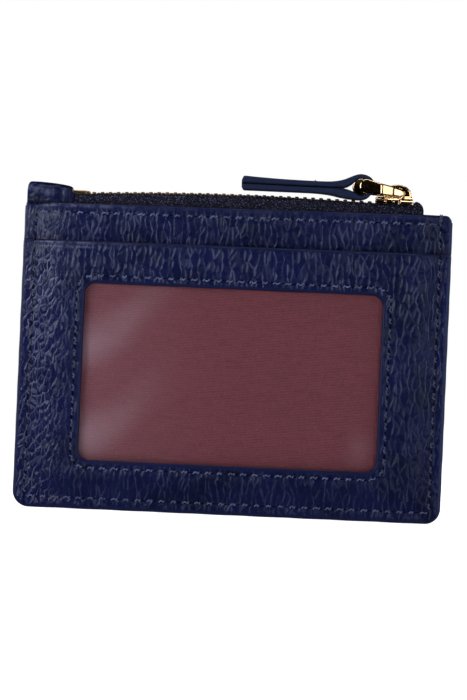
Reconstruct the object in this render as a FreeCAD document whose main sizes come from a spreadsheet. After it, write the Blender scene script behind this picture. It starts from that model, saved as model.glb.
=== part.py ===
# Slim zip card case: leather panels, identity window, card slots, brass zip with a leather pull.
# Frame: millimetres, +Z up, the window side faces -Y, +X to the right; z = 0 is the bottom edge.
import FreeCAD, Part
import math
import os
import Sketcher

os.makedirs("parts", exist_ok=True)
doc = FreeCAD.newDocument("card_case")
Vector = FreeCAD.Vector
EPS = 0.001

SIZES = {
    # case outline
    "case_half_width": 54.0, "panel_height": 77.5, "corner_radius": 3.8, "top_corner_radius": 1.8,
    "flat_rim": 4.0, "pocket_shoulder": 8.0, "rim_slope": 0.4,
    # thickness of each material
    "leather": 1.1, "slot_leather": 0.6, "fabric": 0.3, "film_thickness": 0.25, "tape_thickness": 0.5,
    # how far each layer swells outward over the pockets
    "pocket_rise": 1.0, "window_rise": 1.75,
    # heights of the pocket mouths
    "window_panel_height": 68.0, "id_lining_height": 64.0, "pocket_lining_height": 76.5,
    "slot_high_height": 66.0, "slot_mid_height": 56.0, "slot_low_height": 46.0,
    # flare of the panels around the zip
    "flare_base": 68.3, "flare_top": 72.0, "flare_half_width": 46.9, "tape_inner_gap": 2.2,
    # window
    "window_left": -38.0, "window_right": 37.3, "window_low": 12.3, "window_high": 57.0,
    "window_radius": 2.8, "film_margin": 3.6,
    # stitches
    "stitch_pitch": 3.05, "window_pitch": 2.9, "stitch_length": 2.3, "stitch_width": 0.55,
    "stitch_depth": 0.22, "perimeter_stitch_x": 51.2, "perimeter_stitch_z": 2.6, "top_stitch_z": 74.8,
    "window_stitch_gap": 2.0,
    # zip
    "tape_half_length": 46.6, "tape_low": 72.2, "tape_high": 80.45, "tape_lip": 0.45,
    "tape_fold": 0.9, "tooth_pitch": 2.05, "tooth_length": 1.3, "tooth_count": 40, "tooth_start": -37.5,
    "tooth_low": 79.5, "tooth_high": 80.85, "tooth_gap": 0.25, "tooth_reach": 1.95, "cord_height": 0.5,
    "stop_left": -42.7, "stop_right": -37.85, "stop_high": 80.35, "top_stop_left": 44.85,
    "top_stop_right": 45.65, "top_stop_high": 81.0,
    # end cap
    "cap_left": -53.8, "cap_right": -42.0, "cap_high": 82.0, "cap_high_right": 81.4, "cap_thickness": 0.85,
    # slider
    "slider_left": 34.4, "slider_right": 43.9, "slider_half_width": 3.05, "slider_top": 82.1,
    "slider_top_under": 81.15, "slider_flange_low": 80.6, "slider_flange": 0.28, "slider_low": 78.3,
    "slider_low_top": 79.25, "slider_low_half_width": 2.0, "post_left": 41.6, "post_right": 43.4,
    "post_half_width": 0.18,
    "crown_half_width": 1.3,
    # pull link
    "pivot_across": 40.5, "pivot_up": 83.2, "pivot_radius": 1.0, "bar_across": 30.5, "bar_up": 84.35,
    "bar_radius": 2.0, "link_half_width": 4.4, "link_arm": 0.8, "crown_gap": 0.25,
    # pull tab
    "tab_left": 0.2, "tab_low": 82.35, "tab_high": 85.95, "tab_half_width": 3.5, "loop_clearance": 0.05,
    "loop_thickness": 1.2,
}

sheet = doc.addObject("Spreadsheet::Sheet", "sizes")
for row, (alias, value) in enumerate(SIZES.items(), start=1):
    sheet.set("A%d" % row, str(value))
    sheet.setAlias("A%d" % row, alias)
doc.recompute()


def new_body(label):
    body = doc.addObject("PartDesign::Body", label)
    body.Label = label
    body.Placement = FreeCAD.Placement()
    return body


def origin_part(body, role):
    return [part for part in body.Origin.OriginFeatures if part.Role == role][0]


def bind(feature, **expressions):
    """Tie properties of a feature to the sheet; underscores in a name stand for dots."""
    for name, expression in expressions.items():
        feature.setExpression(name.replace("_", "."), expression)


def new_sketch(body, name, role="XZ_Plane", offset=None):
    sketch = body.newObject("Sketcher::SketchObject", name)
    sketch.AttachmentSupport = [(origin_part(body, role), "")]
    sketch.MapMode = "FlatFace"
    if offset:
        sketch.setExpression("AttachmentOffset.Base.z", offset)
    return sketch


def rectangle(sketch, left, right, low, high):
    """Rectangle whose four sides follow the sheet."""
    corners = [Vector(0, 0, 0), Vector(9, 0, 0), Vector(9, 9, 0), Vector(0, 9, 0)]
    for i in range(4):
        sketch.addGeometry(Part.LineSegment(corners[i], corners[(i + 1) % 4]), False)
    for i in range(4):
        sketch.addConstraint(Sketcher.Constraint("Coincident", i, 2, (i + 1) % 4, 1))
        sketch.addConstraint(Sketcher.Constraint("Horizontal" if i % 2 == 0 else "Vertical", i))
    for kind, line, value, name, expression in (
            ("DistanceX", 0, 1.0, "left", left), ("DistanceY", 0, 1.0, "low", low),
            ("DistanceX", 2, 9.0, "right", right), ("DistanceY", 2, 9.0, "high", high)):
        index = sketch.addConstraint(Sketcher.Constraint(kind, -1, 1, line, 1, value))
        sketch.renameConstraint(index, name)
        sketch.setExpression("Constraints." + name, expression)
    return sketch


def outline(sketch, *edges):
    """Closed profile from edges given in order: points for lines, (start, middle, end) for arcs."""
    for edge in edges:
        points = [Vector(p[0], p[1], 0) for p in edge]
        if len(points) == 2:
            sketch.addGeometry(Part.LineSegment(points[0], points[1]), False)
        else:
            sketch.addGeometry(Part.Arc(points[0], points[1], points[2]), False)
    return sketch


def path(*points):
    """Closed loop of straight edges through the points."""
    return [(points[i], points[(i + 1) % len(points)]) for i in range(len(points))]


def pad(body, sketch, length, midplane=False):
    feature = body.newObject("PartDesign::Pad", sketch.Name + "_pad")
    feature.Profile = sketch
    feature.Midplane = midplane
    bind(feature, Length=length)
    doc.recompute()
    return feature


def pocket(body, sketch, length, midplane=False, reverse=False):
    before = body.Shape.Volume
    feature = body.newObject("PartDesign::Pocket", sketch.Name + "_pocket")
    feature.Profile = sketch
    feature.Midplane = midplane
    feature.Reversed = reverse
    feature.Length = length
    doc.recompute()
    if feature.Shape.Volume > before - EPS:
        raise RuntimeError("%s removes nothing" % sketch.Label)
    return feature


def add_box(body, name, left, right, near, far, low, high):
    """Box with bound faces; near and far are its limits in y."""
    box = body.newObject("PartDesign::AdditiveBox", name)
    bind(box, Length="(%s) - (%s)" % (right, left), Width="(%s) - (%s)" % (far, near),
         Height="(%s) - (%s)" % (high, low))
    bind(box, Placement_Base_x=left, Placement_Base_y=near, Placement_Base_z=low)
    return box


def round_corners(body, feature, places, radius):
    """Fillet the edges that run along y at the given (x, z) places."""
    doc.recompute()
    names = []
    for number, edge in enumerate(feature.Shape.Edges, start=1):
        ends = [vertex.Point for vertex in edge.Vertexes]
        if len(ends) != 2 or abs((ends[0] - ends[1]).dot(Vector(0, 1, 0))) < 0.99 * edge.Length:
            continue
        if any(math.hypot(ends[0].x - x, ends[0].z - z) < 0.01 for x, z in places):
            names.append("Edge%d" % number)
    fillet = body.newObject("PartDesign::Fillet", feature.Name + "_corners")
    fillet.Base = (feature, names)
    bind(fillet, Radius=radius)
    doc.recompute()
    return fillet


def add_wedge(body, kind, name, side, start, rise, base, top, high):
    """Frustum that swells outward; base and top are (half width, lower edge) of its two faces."""
    wedge = body.newObject("PartDesign::" + kind, name)
    bind(wedge, Xmin="-(%s)" % base[0], Xmax=base[0], X2min="-(%s)" % top[0], X2max=top[0],
         Ymax=rise, Zmin=base[1], Z2min=top[1], Zmax=high, Z2max=high)
    wedge.Ymin = 0
    turn = FreeCAD.Rotation(Vector(0, 0, 1), 180 if side < 0 else 0)
    wedge.Placement = FreeCAD.Placement(Vector(0, 0, 0), turn)
    bind(wedge, Placement_Base_y="%d * (%s)" % (side, start))
    return wedge


POCKET_BASE = ("sizes.case_half_width - sizes.flat_rim", "sizes.flat_rim")
POCKET_TOP = ("sizes.case_half_width - sizes.pocket_shoulder", "sizes.pocket_shoulder")
FLARE_BASE = ("sizes.case_half_width - sizes.flat_rim", "sizes.flare_base")
FLARE_TOP = ("sizes.flare_half_width", "sizes.flare_top")


def tray(label, side, height, gap, thickness, rise, flare=None, square_top=True):
    """Panel with a flat sewn rim that swells over the pocket, and flares by the zip if asked."""
    body = new_body(label)
    sketch = rectangle(new_sketch(body, label + "_rim", offset="%d * (%s)" % (-side, gap)),
                       "-sizes.case_half_width", "sizes.case_half_width", "0", height)
    plate = pad(body, sketch, thickness)
    plate.Reversed = side > 0
    half, top = SIZES["case_half_width"], SIZES[height.replace("sizes.", "")]
    plate = round_corners(body, plate, [(-half, 0), (half, 0)], "sizes.corner_radius")
    if not square_top:
        plate = round_corners(body, plate, [(half, top)], "sizes.top_corner_radius")
    outer = "(%s) + (%s)" % (gap, thickness)
    levels = [(POCKET_BASE, POCKET_TOP, rise)]
    if flare:
        levels.append((FLARE_BASE, FLARE_TOP, flare))
    for number, (base, crest, lift) in enumerate(levels):
        add_wedge(body, "AdditiveWedge", "%s_out%d" % (label, number), side, outer, lift,
                  base, crest, height)
    for number, (base, crest, lift) in enumerate(levels):
        add_wedge(body, "SubtractiveWedge", "%s_in%d" % (label, number), side, gap, lift,
                  base, crest, height + " + 1")
    doc.recompute()
    return body


def stitch_rows(label, rows):
    """Rows of short stitches; each row is (axis, x, z, count, pitch, y of the surface, side)."""
    body = new_body(label)
    for number, (axis, x, z, count, pitch, surface, side) in enumerate(rows):
        long_side = "sizes.stitch_length"
        wide, tall = (long_side, "sizes.stitch_width") if axis == "X" else ("sizes.stitch_width", long_side)
        near = "-(%s) - sizes.stitch_depth" % surface if side < 0 else surface
        stitch = body.newObject("PartDesign::AdditiveBox", "%s_%d" % (label, number))
        bind(stitch, Length=wide, Width="sizes.stitch_depth", Height=tall)
        bind(stitch, Placement_Base_x="(%s) - (%s) / 2" % (x, wide), Placement_Base_y=near,
             Placement_Base_z="(%s) - (%s) / 2" % (z, tall))
        pattern = body.newObject("PartDesign::LinearPattern", "%s_row%d" % (label, number))
        pattern.Originals = [stitch]
        pattern.Direction = (origin_part(body, axis + "_Axis"), [""])
        pattern.Mode = "Spacing"
        bind(pattern, Offset=pitch)
        pattern.Occurrences = count
        body.Tip = pattern
    doc.recompute()
    return body


def case_panels():
    """Every leather panel and lining of the case, from the zip pocket outward on both sides."""
    rise, window_rise = "sizes.pocket_rise", "sizes.window_rise"
    panel_flare = "sizes.tape_inner_gap + sizes.tape_thickness - sizes.fabric"
    lining_flare = "sizes.tape_inner_gap - sizes.fabric"
    outer_panel = "sizes.fabric + sizes.leather"
    nodes = []
    for side, name in ((-1, "front"), (1, "back")):
        nodes.append(tray("pocket_lining_" + name, side, "sizes.pocket_lining_height", "0",
                          "sizes.fabric", rise, lining_flare))
        nodes.append(tray(name + "_panel", side, "sizes.panel_height", "sizes.fabric",
                          "sizes.leather", rise, panel_flare, square_top=False))
    nodes.append(tray("id_pocket_lining", -1, "sizes.id_lining_height", outer_panel,
                      "sizes.fabric", rise))
    window_gap = outer_panel + " + sizes.fabric"
    window_panel = tray("window_panel", -1, "sizes.window_panel_height", window_gap,
                        "sizes.leather", window_rise)
    opening = rectangle(new_sketch(window_panel, "window_opening"), "sizes.window_left",
                        "sizes.window_right", "sizes.window_low", "sizes.window_high")
    cut = pocket(window_panel, opening, 40, midplane=True)
    corners = [(SIZES[x], SIZES[z]) for x in ("window_left", "window_right")
               for z in ("window_low", "window_high")]
    round_corners(window_panel, cut, corners, "sizes.window_radius")
    nodes.append(window_panel)
    for number, name in enumerate(("high", "mid", "low")):
        gap = outer_panel + " + %d * sizes.slot_leather" % number
        nodes.append(tray("card_slot_" + name, 1, "sizes.slot_%s_height" % name, gap,
                          "sizes.slot_leather", rise))
    return nodes


def window_film():
    body = new_body("window_film")
    behind = "-(sizes.fabric * 2 + sizes.leather + sizes.window_rise)"
    add_box(body, "film_sheet", "sizes.window_left - sizes.film_margin",
            "sizes.window_right + sizes.film_margin", behind, behind + " + sizes.film_thickness",
            "sizes.window_low - sizes.film_margin", "sizes.window_high + sizes.film_margin")
    return body


def seams():
    """Stitch rows: round the window, round the case and along the zip, front and back."""
    rim_inner = "sizes.fabric + sizes.leather"
    face = "sizes.fabric * 2 + sizes.leather * 2"
    pocket_face = face + " + sizes.window_rise"
    flare_face = "sizes.tape_inner_gap + sizes.tape_thickness + sizes.leather"
    pitch, window_pitch = "sizes.stitch_pitch", "sizes.window_pitch"
    edge, bottom = "sizes.perimeter_stitch_x", "sizes.perimeter_stitch_z"
    gap = "sizes.window_stitch_gap"
    left, right = "sizes.window_left - " + gap, "sizes.window_right + " + gap
    low, high = "sizes.window_low - " + gap, "sizes.window_high + " + gap
    window = [("X", left + " + 2.2", z, 26, window_pitch, pocket_face, -1) for z in (low, high)]
    window += [("Z", x, low + " + 2.7", 16, window_pitch, pocket_face, -1) for x in (left, right)]
    top = ("X", "-15 * sizes.stitch_pitch", "sizes.top_stitch_z", 31, pitch, flare_face)
    front = [("X", "-16 * sizes.stitch_pitch", bottom, 33, pitch, face, -1)]
    back = [("X", "-16 * sizes.stitch_pitch", bottom, 33, pitch,
             rim_inner + " + 3 * sizes.slot_leather", 1)]
    slots = [(4.65, 13, 3), (47.95, 3, 2), (57.4, 3, 1), (68.2, 3, 0)]
    for x in ("-" + edge, edge):
        front.append(("Z", x, bottom + " + 2.05", 20, pitch, face, -1))
        front.append(("Z", x, "70.2", 2, pitch, rim_inner, -1))
        for start, count, layers in slots:
            surface = rim_inner + " + %d * sizes.slot_leather" % layers
            back.append(("Z", x, str(start), count, pitch, surface, 1))
    return [stitch_rows("window_seam_thread", window),
            stitch_rows("top_seam_thread_front", [top + (-1,)]),
            stitch_rows("top_seam_thread_back", [top + (1,)]),
            stitch_rows("perimeter_seam_thread_front", front),
            stitch_rows("perimeter_seam_thread_back", back)]


def zip_half(side, name):
    """One tape with its folded lip and closing end, and the row of teeth clamped to it."""
    tape = new_body("zip_tape_" + name)
    inner, outer = "sizes.tape_inner_gap", "sizes.tape_inner_gap + sizes.tape_thickness"
    reach = "sizes.tooth_reach"

    def across(low, high):
        return (low, high) if side > 0 else ("-(%s)" % high, "-(%s)" % low)

    end = "sizes.tape_half_length"
    near, far = across(inner, outer)
    add_box(tape, "tape_web_" + name, "-" + end, end, near, far, "sizes.tape_low", "sizes.tape_high")
    near, far = across(reach, inner)
    add_box(tape, "tape_lip_" + name, "-" + end, end, near, far,
            "sizes.tape_high - sizes.tape_lip", "sizes.tape_high")
    near, far = across("sizes.tooth_gap / 2", inner)
    add_box(tape, "tape_fold_" + name, end + " - sizes.tape_fold", end, near, far,
            "sizes.pocket_lining_height + 0.3", "sizes.tape_high")

    teeth = new_body("zip_teeth_" + name)
    near, far = across("sizes.tooth_gap", "sizes.tooth_reach")
    start = "sizes.tooth_start + %s" % ("0" if side < 0 else "sizes.tooth_pitch / 2")
    tooth = add_box(teeth, "tooth_" + name, start, "(%s) + sizes.tooth_length" % start, near, far,
                    "sizes.tooth_low", "sizes.tooth_high")
    row = teeth.newObject("PartDesign::LinearPattern", "tooth_row_" + name)
    row.Originals = [tooth]
    row.Direction = (origin_part(teeth, "X_Axis"), [""])
    row.Mode = "Spacing"
    bind(row, Offset="sizes.tooth_pitch", Occurrences="sizes.tooth_count")
    teeth.Tip = row
    near, far = across("sizes.tooth_reach - 0.4", "sizes.tooth_reach")
    add_box(teeth, "tooth_cord_" + name, "sizes.tooth_start", "sizes.top_stop_left", near, far,
            "sizes.tape_high - sizes.cord_height", "sizes.tape_high")
    return [tape, teeth]


def zip_stops():
    bottom = new_body("zip_bottom_stop")
    add_box(bottom, "bottom_stop_bar", "sizes.stop_left", "sizes.stop_right", "-sizes.tooth_reach",
            "sizes.tooth_reach", "sizes.tooth_low", "sizes.stop_high")
    top = new_body("zip_top_stops")
    for side, name in ((-1, "front"), (1, "back")):
        near, far = ("-sizes.tooth_reach", "-sizes.tooth_gap") if side < 0 else \
            ("sizes.tooth_gap", "sizes.tooth_reach")
        add_box(top, "top_stop_" + name, "sizes.top_stop_left", "sizes.top_stop_right", near, far,
                "sizes.tooth_low", "sizes.top_stop_high")
    return [bottom, top]


def end_cap():
    """Leather folded over the left end of the tape: an inverted U with a lower right end."""
    body = new_body("zip_end_cap")
    left, right, base = SIZES["cap_left"], SIZES["cap_right"], SIZES["panel_height"]
    high, low_high = SIZES["cap_high"], SIZES["cap_high_right"]
    profile = new_sketch(body, "cap_side")
    outline(profile, *path((left, base), (right - 0.8, base), (right, base + 0.9),
                           (right, low_high - 1.6), (right - 1.0, low_high), (right - 4.4, high - 0.15),
                           (right - 7.6, high), (left + 1.0, high), (left, high - 1.0)))
    pad(body, profile, "2 * (sizes.tape_inner_gap + sizes.tape_thickness + sizes.cap_thickness)", True)
    inside = rectangle(new_sketch(body, "cap_inside", role="YZ_Plane"),
                       "-(sizes.tape_inner_gap + sizes.tape_thickness + 0.02)",
                       "sizes.tape_inner_gap + sizes.tape_thickness + 0.02",
                       "sizes.panel_height - 1", "sizes.tape_high + 0.02")
    pocket(body, inside, 200, midplane=True)
    thread = new_body("end_cap_thread")
    x, face = right - 2.2, "sizes.tape_inner_gap + sizes.tape_thickness + sizes.cap_thickness"
    for number, z in enumerate((78.1, 79.6)):
        add_box(thread, "cap_stitch_%d" % number, str(x - 0.22), str(x + 0.22),
                "-(%s) - sizes.stitch_depth" % face, "-(%s)" % face, str(z), str(z + 1.0))
    return [body, thread]


def slider():
    body = new_body("slider_body")
    left, right = "sizes.slider_left", "sizes.slider_right"
    wide, low_wide = "sizes.slider_half_width", "sizes.slider_low_half_width"
    add_box(body, "top_plate", left, right, "-" + wide, wide, "sizes.slider_top_under",
            "sizes.slider_top")
    add_box(body, "post", "sizes.post_left", "sizes.post_right", "-sizes.post_half_width",
            "sizes.post_half_width", "sizes.slider_low", "sizes.slider_top")
    add_box(body, "lower_plate", left, right, "-" + low_wide, low_wide, "sizes.slider_low",
            "sizes.slider_low_top")
    for near, far, name in (("-" + wide, "-%s + sizes.slider_flange" % wide, "front"),
                            (wide + " - sizes.slider_flange", wide, "back")):
        add_box(body, "flange_" + name, left, right, near, far, "sizes.slider_flange_low",
                "sizes.slider_top_under")
    doc.recompute()
    crown = new_body("slider_crown")
    foot = SIZES["slider_top"]
    arch = new_sketch(crown, "crown_arch")
    outline(arch, ((36.5, foot), (36.6, 83.6)), ((36.6, 83.6), (37.6, 84.9), (39.7, 85.35)),
            ((39.7, 85.35), (42.2, 84.7), (43.3, 83.4)), ((43.3, 83.4), (43.6, foot)),
            ((43.6, foot), (42.3, foot)), ((42.3, foot), (42.2, 83.5)),
            ((42.2, 83.5), (41.4, 84.3), (40.3, 84.55)), ((40.3, 84.55), (38.4, 84.2), (37.5, 83.3)),
            ((37.5, 83.3), (37.5, foot)), ((37.5, foot), (36.5, foot)))
    pad(crown, arch, "2 * sizes.crown_half_width", True)
    return [body, crown]


def circle(sketch, across, up, radius):
    """Circle whose centre and radius follow the sheet."""
    sketch.addGeometry(Part.Circle(Vector(1, 1, 0), Vector(0, 0, 1), 1.0), False)
    for kind, name, value, expression in (("DistanceX", "across", 1.0, across),
                                          ("DistanceY", "up", 1.0, up)):
        index = sketch.addConstraint(Sketcher.Constraint(kind, -1, 1, 0, 3, value))
        sketch.renameConstraint(index, name)
        sketch.setExpression("Constraints." + name, expression)
    index = sketch.addConstraint(Sketcher.Constraint("Radius", 0, 1.0))
    sketch.renameConstraint(index, "size")
    sketch.setExpression("Constraints.size", radius)
    return sketch


def pull_link():
    """Ring seen from above and teardrop from the side, with a bar at each end."""
    body = new_body("pull_link")
    px, pz = SIZES["pivot_across"], SIZES["pivot_up"]
    side = new_sketch(body, "link_side")
    outline(side, ((px, pz - 1.0), (px + 1.0, pz), (px + 0.3, pz + 0.95)),
            ((px + 0.3, pz + 0.95), (36.0, 85.2)), ((36.0, 85.2), (32.6, 86.35)),
            ((32.6, 86.35), (30.1, 84.55), (32.2, 82.7)), ((32.2, 82.7), (36.0, 82.5)),
            ((36.0, 82.5), (px, pz - 1.0)))
    pad(body, side, "2 * sizes.link_half_width", True)
    half, arm, gap = SIZES["link_half_width"], SIZES["link_arm"], SIZES["crown_half_width"] + \
        SIZES["crown_gap"]
    inside = new_sketch(body, "link_inside", role="XY_Plane")
    outline(inside, *path((29, -(half - arm)), (35.4, -(half - arm)), (38.0, -gap), (px + 2, -gap),
                          (px + 2, gap), (38.0, gap), (35.4, half - arm), (29, half - arm)))
    pocket(body, inside, 200, midplane=True)
    for sign, name in ((-1, "front"), (1, "back")):
        trim = new_sketch(body, "link_trim_" + name, role="XY_Plane")
        outline(trim, *path((35.9, sign * half), (38.7, sign * 2.7), (px + 2, sign * 2.5),
                            (px + 2, sign * (half + 2)), (35.9, sign * (half + 2))))
        pocket(body, trim, 200, midplane=True)
    pivot = circle(new_sketch(body, "pivot_bar"), "sizes.pivot_across", "sizes.pivot_up",
                   "sizes.pivot_radius")
    pad(body, pivot, "2 * (sizes.crown_half_width + sizes.crown_gap) + 0.4", True)
    bar = circle(new_sketch(body, "barrel"), "sizes.bar_across", "sizes.bar_up", "sizes.bar_radius")
    pad(body, bar, "2 * (sizes.link_half_width - sizes.link_arm) + 0.4", True)
    return body


def pull_tab():
    """Leather strap folded round the barrel, the two layers sewn flat to each other."""
    body = new_body("pull_tab")
    cx, cz = SIZES["bar_across"], SIZES["bar_up"]
    inner = SIZES["bar_radius"] + SIZES["loop_clearance"]
    outer = inner + SIZES["loop_thickness"]
    left, low, high = SIZES["tab_left"], SIZES["tab_low"], SIZES["tab_high"]

    def on_circle(radius, degrees):
        angle = math.radians(degrees)
        return cx + radius * math.cos(angle), cz + radius * math.sin(angle)

    side = new_sketch(body, "tab_side")
    first, last = on_circle(outer, -118), on_circle(outer, 118)
    outline(side, ((left, low + 0.6), (left + 0.18, low + 0.18), (left + 0.6, low)),
            ((left + 0.6, low), (21.0, low)), ((21.0, low), (25.6, 81.95)), ((25.6, 81.95), first),
            (first, on_circle(outer, 0), last), (last, (25.6, 85.85)),
            ((25.6, 85.85), (20.5, 85.42)), ((20.5, 85.42), (11.0, 85.42)),
            ((11.0, 85.42), (left + 0.6, high)),
            ((left + 0.6, high), (left + 0.18, high - 0.18), (left, high - 0.6)),
            ((left, high - 0.6), (left, low + 0.6)))
    pad(body, side, "2 * sizes.tab_half_width", True)
    notch = new_sketch(body, "tab_gap")
    outline(notch, *path((26.3, 83.95), on_circle(inner, 215), (cx, cz), on_circle(inner, 145)))
    pocket(body, notch, 40, midplane=True)
    hole = circle(new_sketch(body, "tab_hole"), "sizes.bar_across", "sizes.bar_up",
                  "sizes.bar_radius + sizes.loop_clearance")
    pocket(body, hole, 40, midplane=True)
    thread = new_body("pull_tab_thread")
    stitch = add_box(thread, "tab_stitch", "18.7", "19.2", "-2.6", "-1.2", "85.42", "85.6")
    row = thread.newObject("PartDesign::LinearPattern", "tab_stitch_row")
    row.Originals = [stitch]
    row.Direction = (origin_part(thread, "Y_Axis"), [""])
    row.Mode = "Spacing"
    row.Offset = 1.9
    row.Occurrences = 3
    thread.Tip = row
    return [body, thread]


nodes = case_panels() + [window_film()] + seams() + zip_half(-1, "front") + zip_half(1, "rear")
nodes += zip_stops() + end_cap() + slider() + [pull_link()] + pull_tab()

doc.recompute()
for item in doc.Objects:
    if "Invalid" in item.State or "Error" in item.State:
        raise RuntimeError("%s failed: %s" % (item.Label, item.State))
for node in nodes:
    if not node.Shape.isValid() or node.Shape.Volume <= 0:
        raise RuntimeError("%s is not a sound solid" % node.Label)
    node.Shape.exportStep("parts/%s.step" % node.Label)
    box = node.Shape.BoundBox
    print("%-28s %8.1f mm3  x %.2f..%.2f  y %.2f..%.2f  z %.2f..%.2f  %d solids"
          % (node.Label, node.Shape.Volume, box.XMin, box.XMax, box.YMin, box.YMax,
             box.ZMin, box.ZMax, len(node.Shape.Solids)))
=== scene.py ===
"""Slim zip card case: what is seen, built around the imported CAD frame. Lengths are in millimetres
in the row frame until a mesh is made; the window side faces -Y."""
import math

import bpy
import numpy as np
from mathutils import Matrix, Vector


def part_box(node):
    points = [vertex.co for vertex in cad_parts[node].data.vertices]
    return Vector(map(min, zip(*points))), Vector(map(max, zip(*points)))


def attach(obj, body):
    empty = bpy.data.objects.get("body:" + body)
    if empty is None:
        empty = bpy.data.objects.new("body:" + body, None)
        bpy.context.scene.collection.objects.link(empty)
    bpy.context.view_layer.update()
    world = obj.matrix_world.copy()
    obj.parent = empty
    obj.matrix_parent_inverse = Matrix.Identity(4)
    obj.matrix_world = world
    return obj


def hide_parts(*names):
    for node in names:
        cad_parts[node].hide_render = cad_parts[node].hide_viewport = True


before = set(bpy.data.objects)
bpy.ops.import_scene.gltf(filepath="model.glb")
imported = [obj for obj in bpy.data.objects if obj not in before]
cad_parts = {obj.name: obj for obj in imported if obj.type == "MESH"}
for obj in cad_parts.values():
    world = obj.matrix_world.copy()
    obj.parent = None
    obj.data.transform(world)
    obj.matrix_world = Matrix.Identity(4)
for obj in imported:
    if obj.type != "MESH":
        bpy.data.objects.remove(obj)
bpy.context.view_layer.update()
MM = 0.001
rng = np.random.default_rng(7)


def box_mm(node):
    """Low and high corner of a CAD node, in millimetres."""
    low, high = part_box(node)
    return np.array(low) / MM, np.array(high) / MM


# ---------------------------------------------------------------- mesh helpers

def grid_faces(rows, cols, start=0, flip=False):
    """Quads of a rows x cols grid of vertices."""
    i, j = np.meshgrid(np.arange(rows - 1), np.arange(cols - 1), indexing="ij")
    a = (start + i * cols + j).ravel()
    quads = np.stack([a, a + 1, a + cols + 1, a + cols], axis=1)
    return quads[:, ::-1] if flip else quads


def strip_faces(first, second, flip=False):
    """Quads between two lines of vertex numbers of the same length."""
    first, second = np.asarray(first), np.asarray(second)
    quads = np.stack([first[:-1], first[1:], second[1:], second[:-1]], axis=1)
    return quads[:, ::-1] if flip else quads


def sheet_faces(rows, cols, flip, wrap=False, rim=None):
    """Faces of a closed sheet whose two sides are grids of the same size; rim turns the border faces,
    and wrap joins the first and last columns."""
    rim = not flip if rim is None else rim
    count = rows * cols
    number = np.arange(count).reshape(rows, cols)
    faces = [grid_faces(rows, cols, 0, flip), grid_faces(rows, cols, count, not flip)]
    borders = [(number[0], rim), (number[-1], not rim)]
    if wrap:
        faces += [strip_faces(number[:, -1] + start, number[:, 0] + start, turn)
                  for start, turn in ((0, not flip), (count, flip))]
        borders = [(np.append(line, line[0]), turn) for line, turn in borders]
    else:
        borders += [(number[:, 0], not rim), (number[:, -1], rim)]
    faces += [strip_faces(line, line + count, turn) for line, turn in borders]
    return np.concatenate(faces)


def sheet(outer, inner, flip, **turns):
    """Closed sheet between two grids of points."""
    return (np.concatenate([outer.reshape(-1, 3), inner.reshape(-1, 3)]),
            sheet_faces(*outer.shape[:2], flip, **turns).tolist())


def face_values(paint, painted_highlight, gap):
    """Values for a sheet's outer face, then for its inner one: painted alike, with no painted highlight, and
    all in painted shade.
    """
    pairs = {"paint": (paint, paint), "painted_highlight": (painted_highlight, 0 * painted_highlight), "gap": (gap, 0 * gap + 1)}
    return {key: np.concatenate([outer.ravel(), inner.ravel()]) for key, (outer, inner) in pairs.items()}


def build(name, points, faces, material, body="case", nodes=(), slot=None, **attributes):
    """Mesh object from millimetre points, with its material, body, replaced nodes and attributes; the slot
    argument is not used.
    """
    mesh = bpy.data.meshes.new(name)
    mesh.from_pydata((np.asarray(points, float).reshape(-1, 3) * MM).tolist(), [],
                     [tuple(int(v) for v in face) for face in faces])
    for key, values in attributes.items():
        layer = mesh.attributes.new(key, "FLOAT", "POINT")
        layer.data.foreach_set("value", np.full(len(mesh.vertices), values, np.float32))
    mesh.polygons.foreach_set("use_smooth", [True] * len(mesh.polygons))
    mesh.materials.append(material)
    obj = bpy.data.objects.new(name, mesh)
    bpy.context.scene.collection.objects.link(obj)
    mesh.update()
    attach(obj, body)
    if nodes:
        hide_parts(*nodes)
    return obj


def join(parts):
    """One list of points and faces from several."""
    points, faces, start = [], [], 0
    for part_points, part_faces in parts:
        points.append(part_points)
        faces += [[v + start for v in face] for face in part_faces]
        start += len(part_points)
    return np.concatenate(points), faces


def build_parts(name, parts, *rest, **more):
    """One mesh object from several lists of points and faces."""
    return build(name, *join(parts), *rest, **more)


def smooth(t):
    """Soft step from 0 to 1."""
    t = np.clip(t, 0.0, 1.0)
    return t * t * (3 - 2 * t)


def bell(value, middle, width):
    """1 at the middle value, falling off on both sides."""
    return np.exp(-((value - middle) / width) ** 2)


def headings(line):
    """Unit direction of a line at each of its points."""
    ahead = np.gradient(line, axis=0)
    return ahead / np.linalg.norm(ahead, axis=1)[:, None]


def spaced(start, stop, step, fine=(0, 0.06, 0.16, 0.3, 0.5, 0.8, 1.2, 1.7)):
    """Stations from start to stop, close together near both ends."""
    fine = np.array(fine)
    count = max(2, int(round((stop - start - 2 * fine[-1]) / step)) + 1)
    middle = np.linspace(start + fine[-1], stop - fine[-1], count)
    return np.concatenate([start + fine[:-1], middle, stop - fine[:-1][::-1]])


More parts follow.
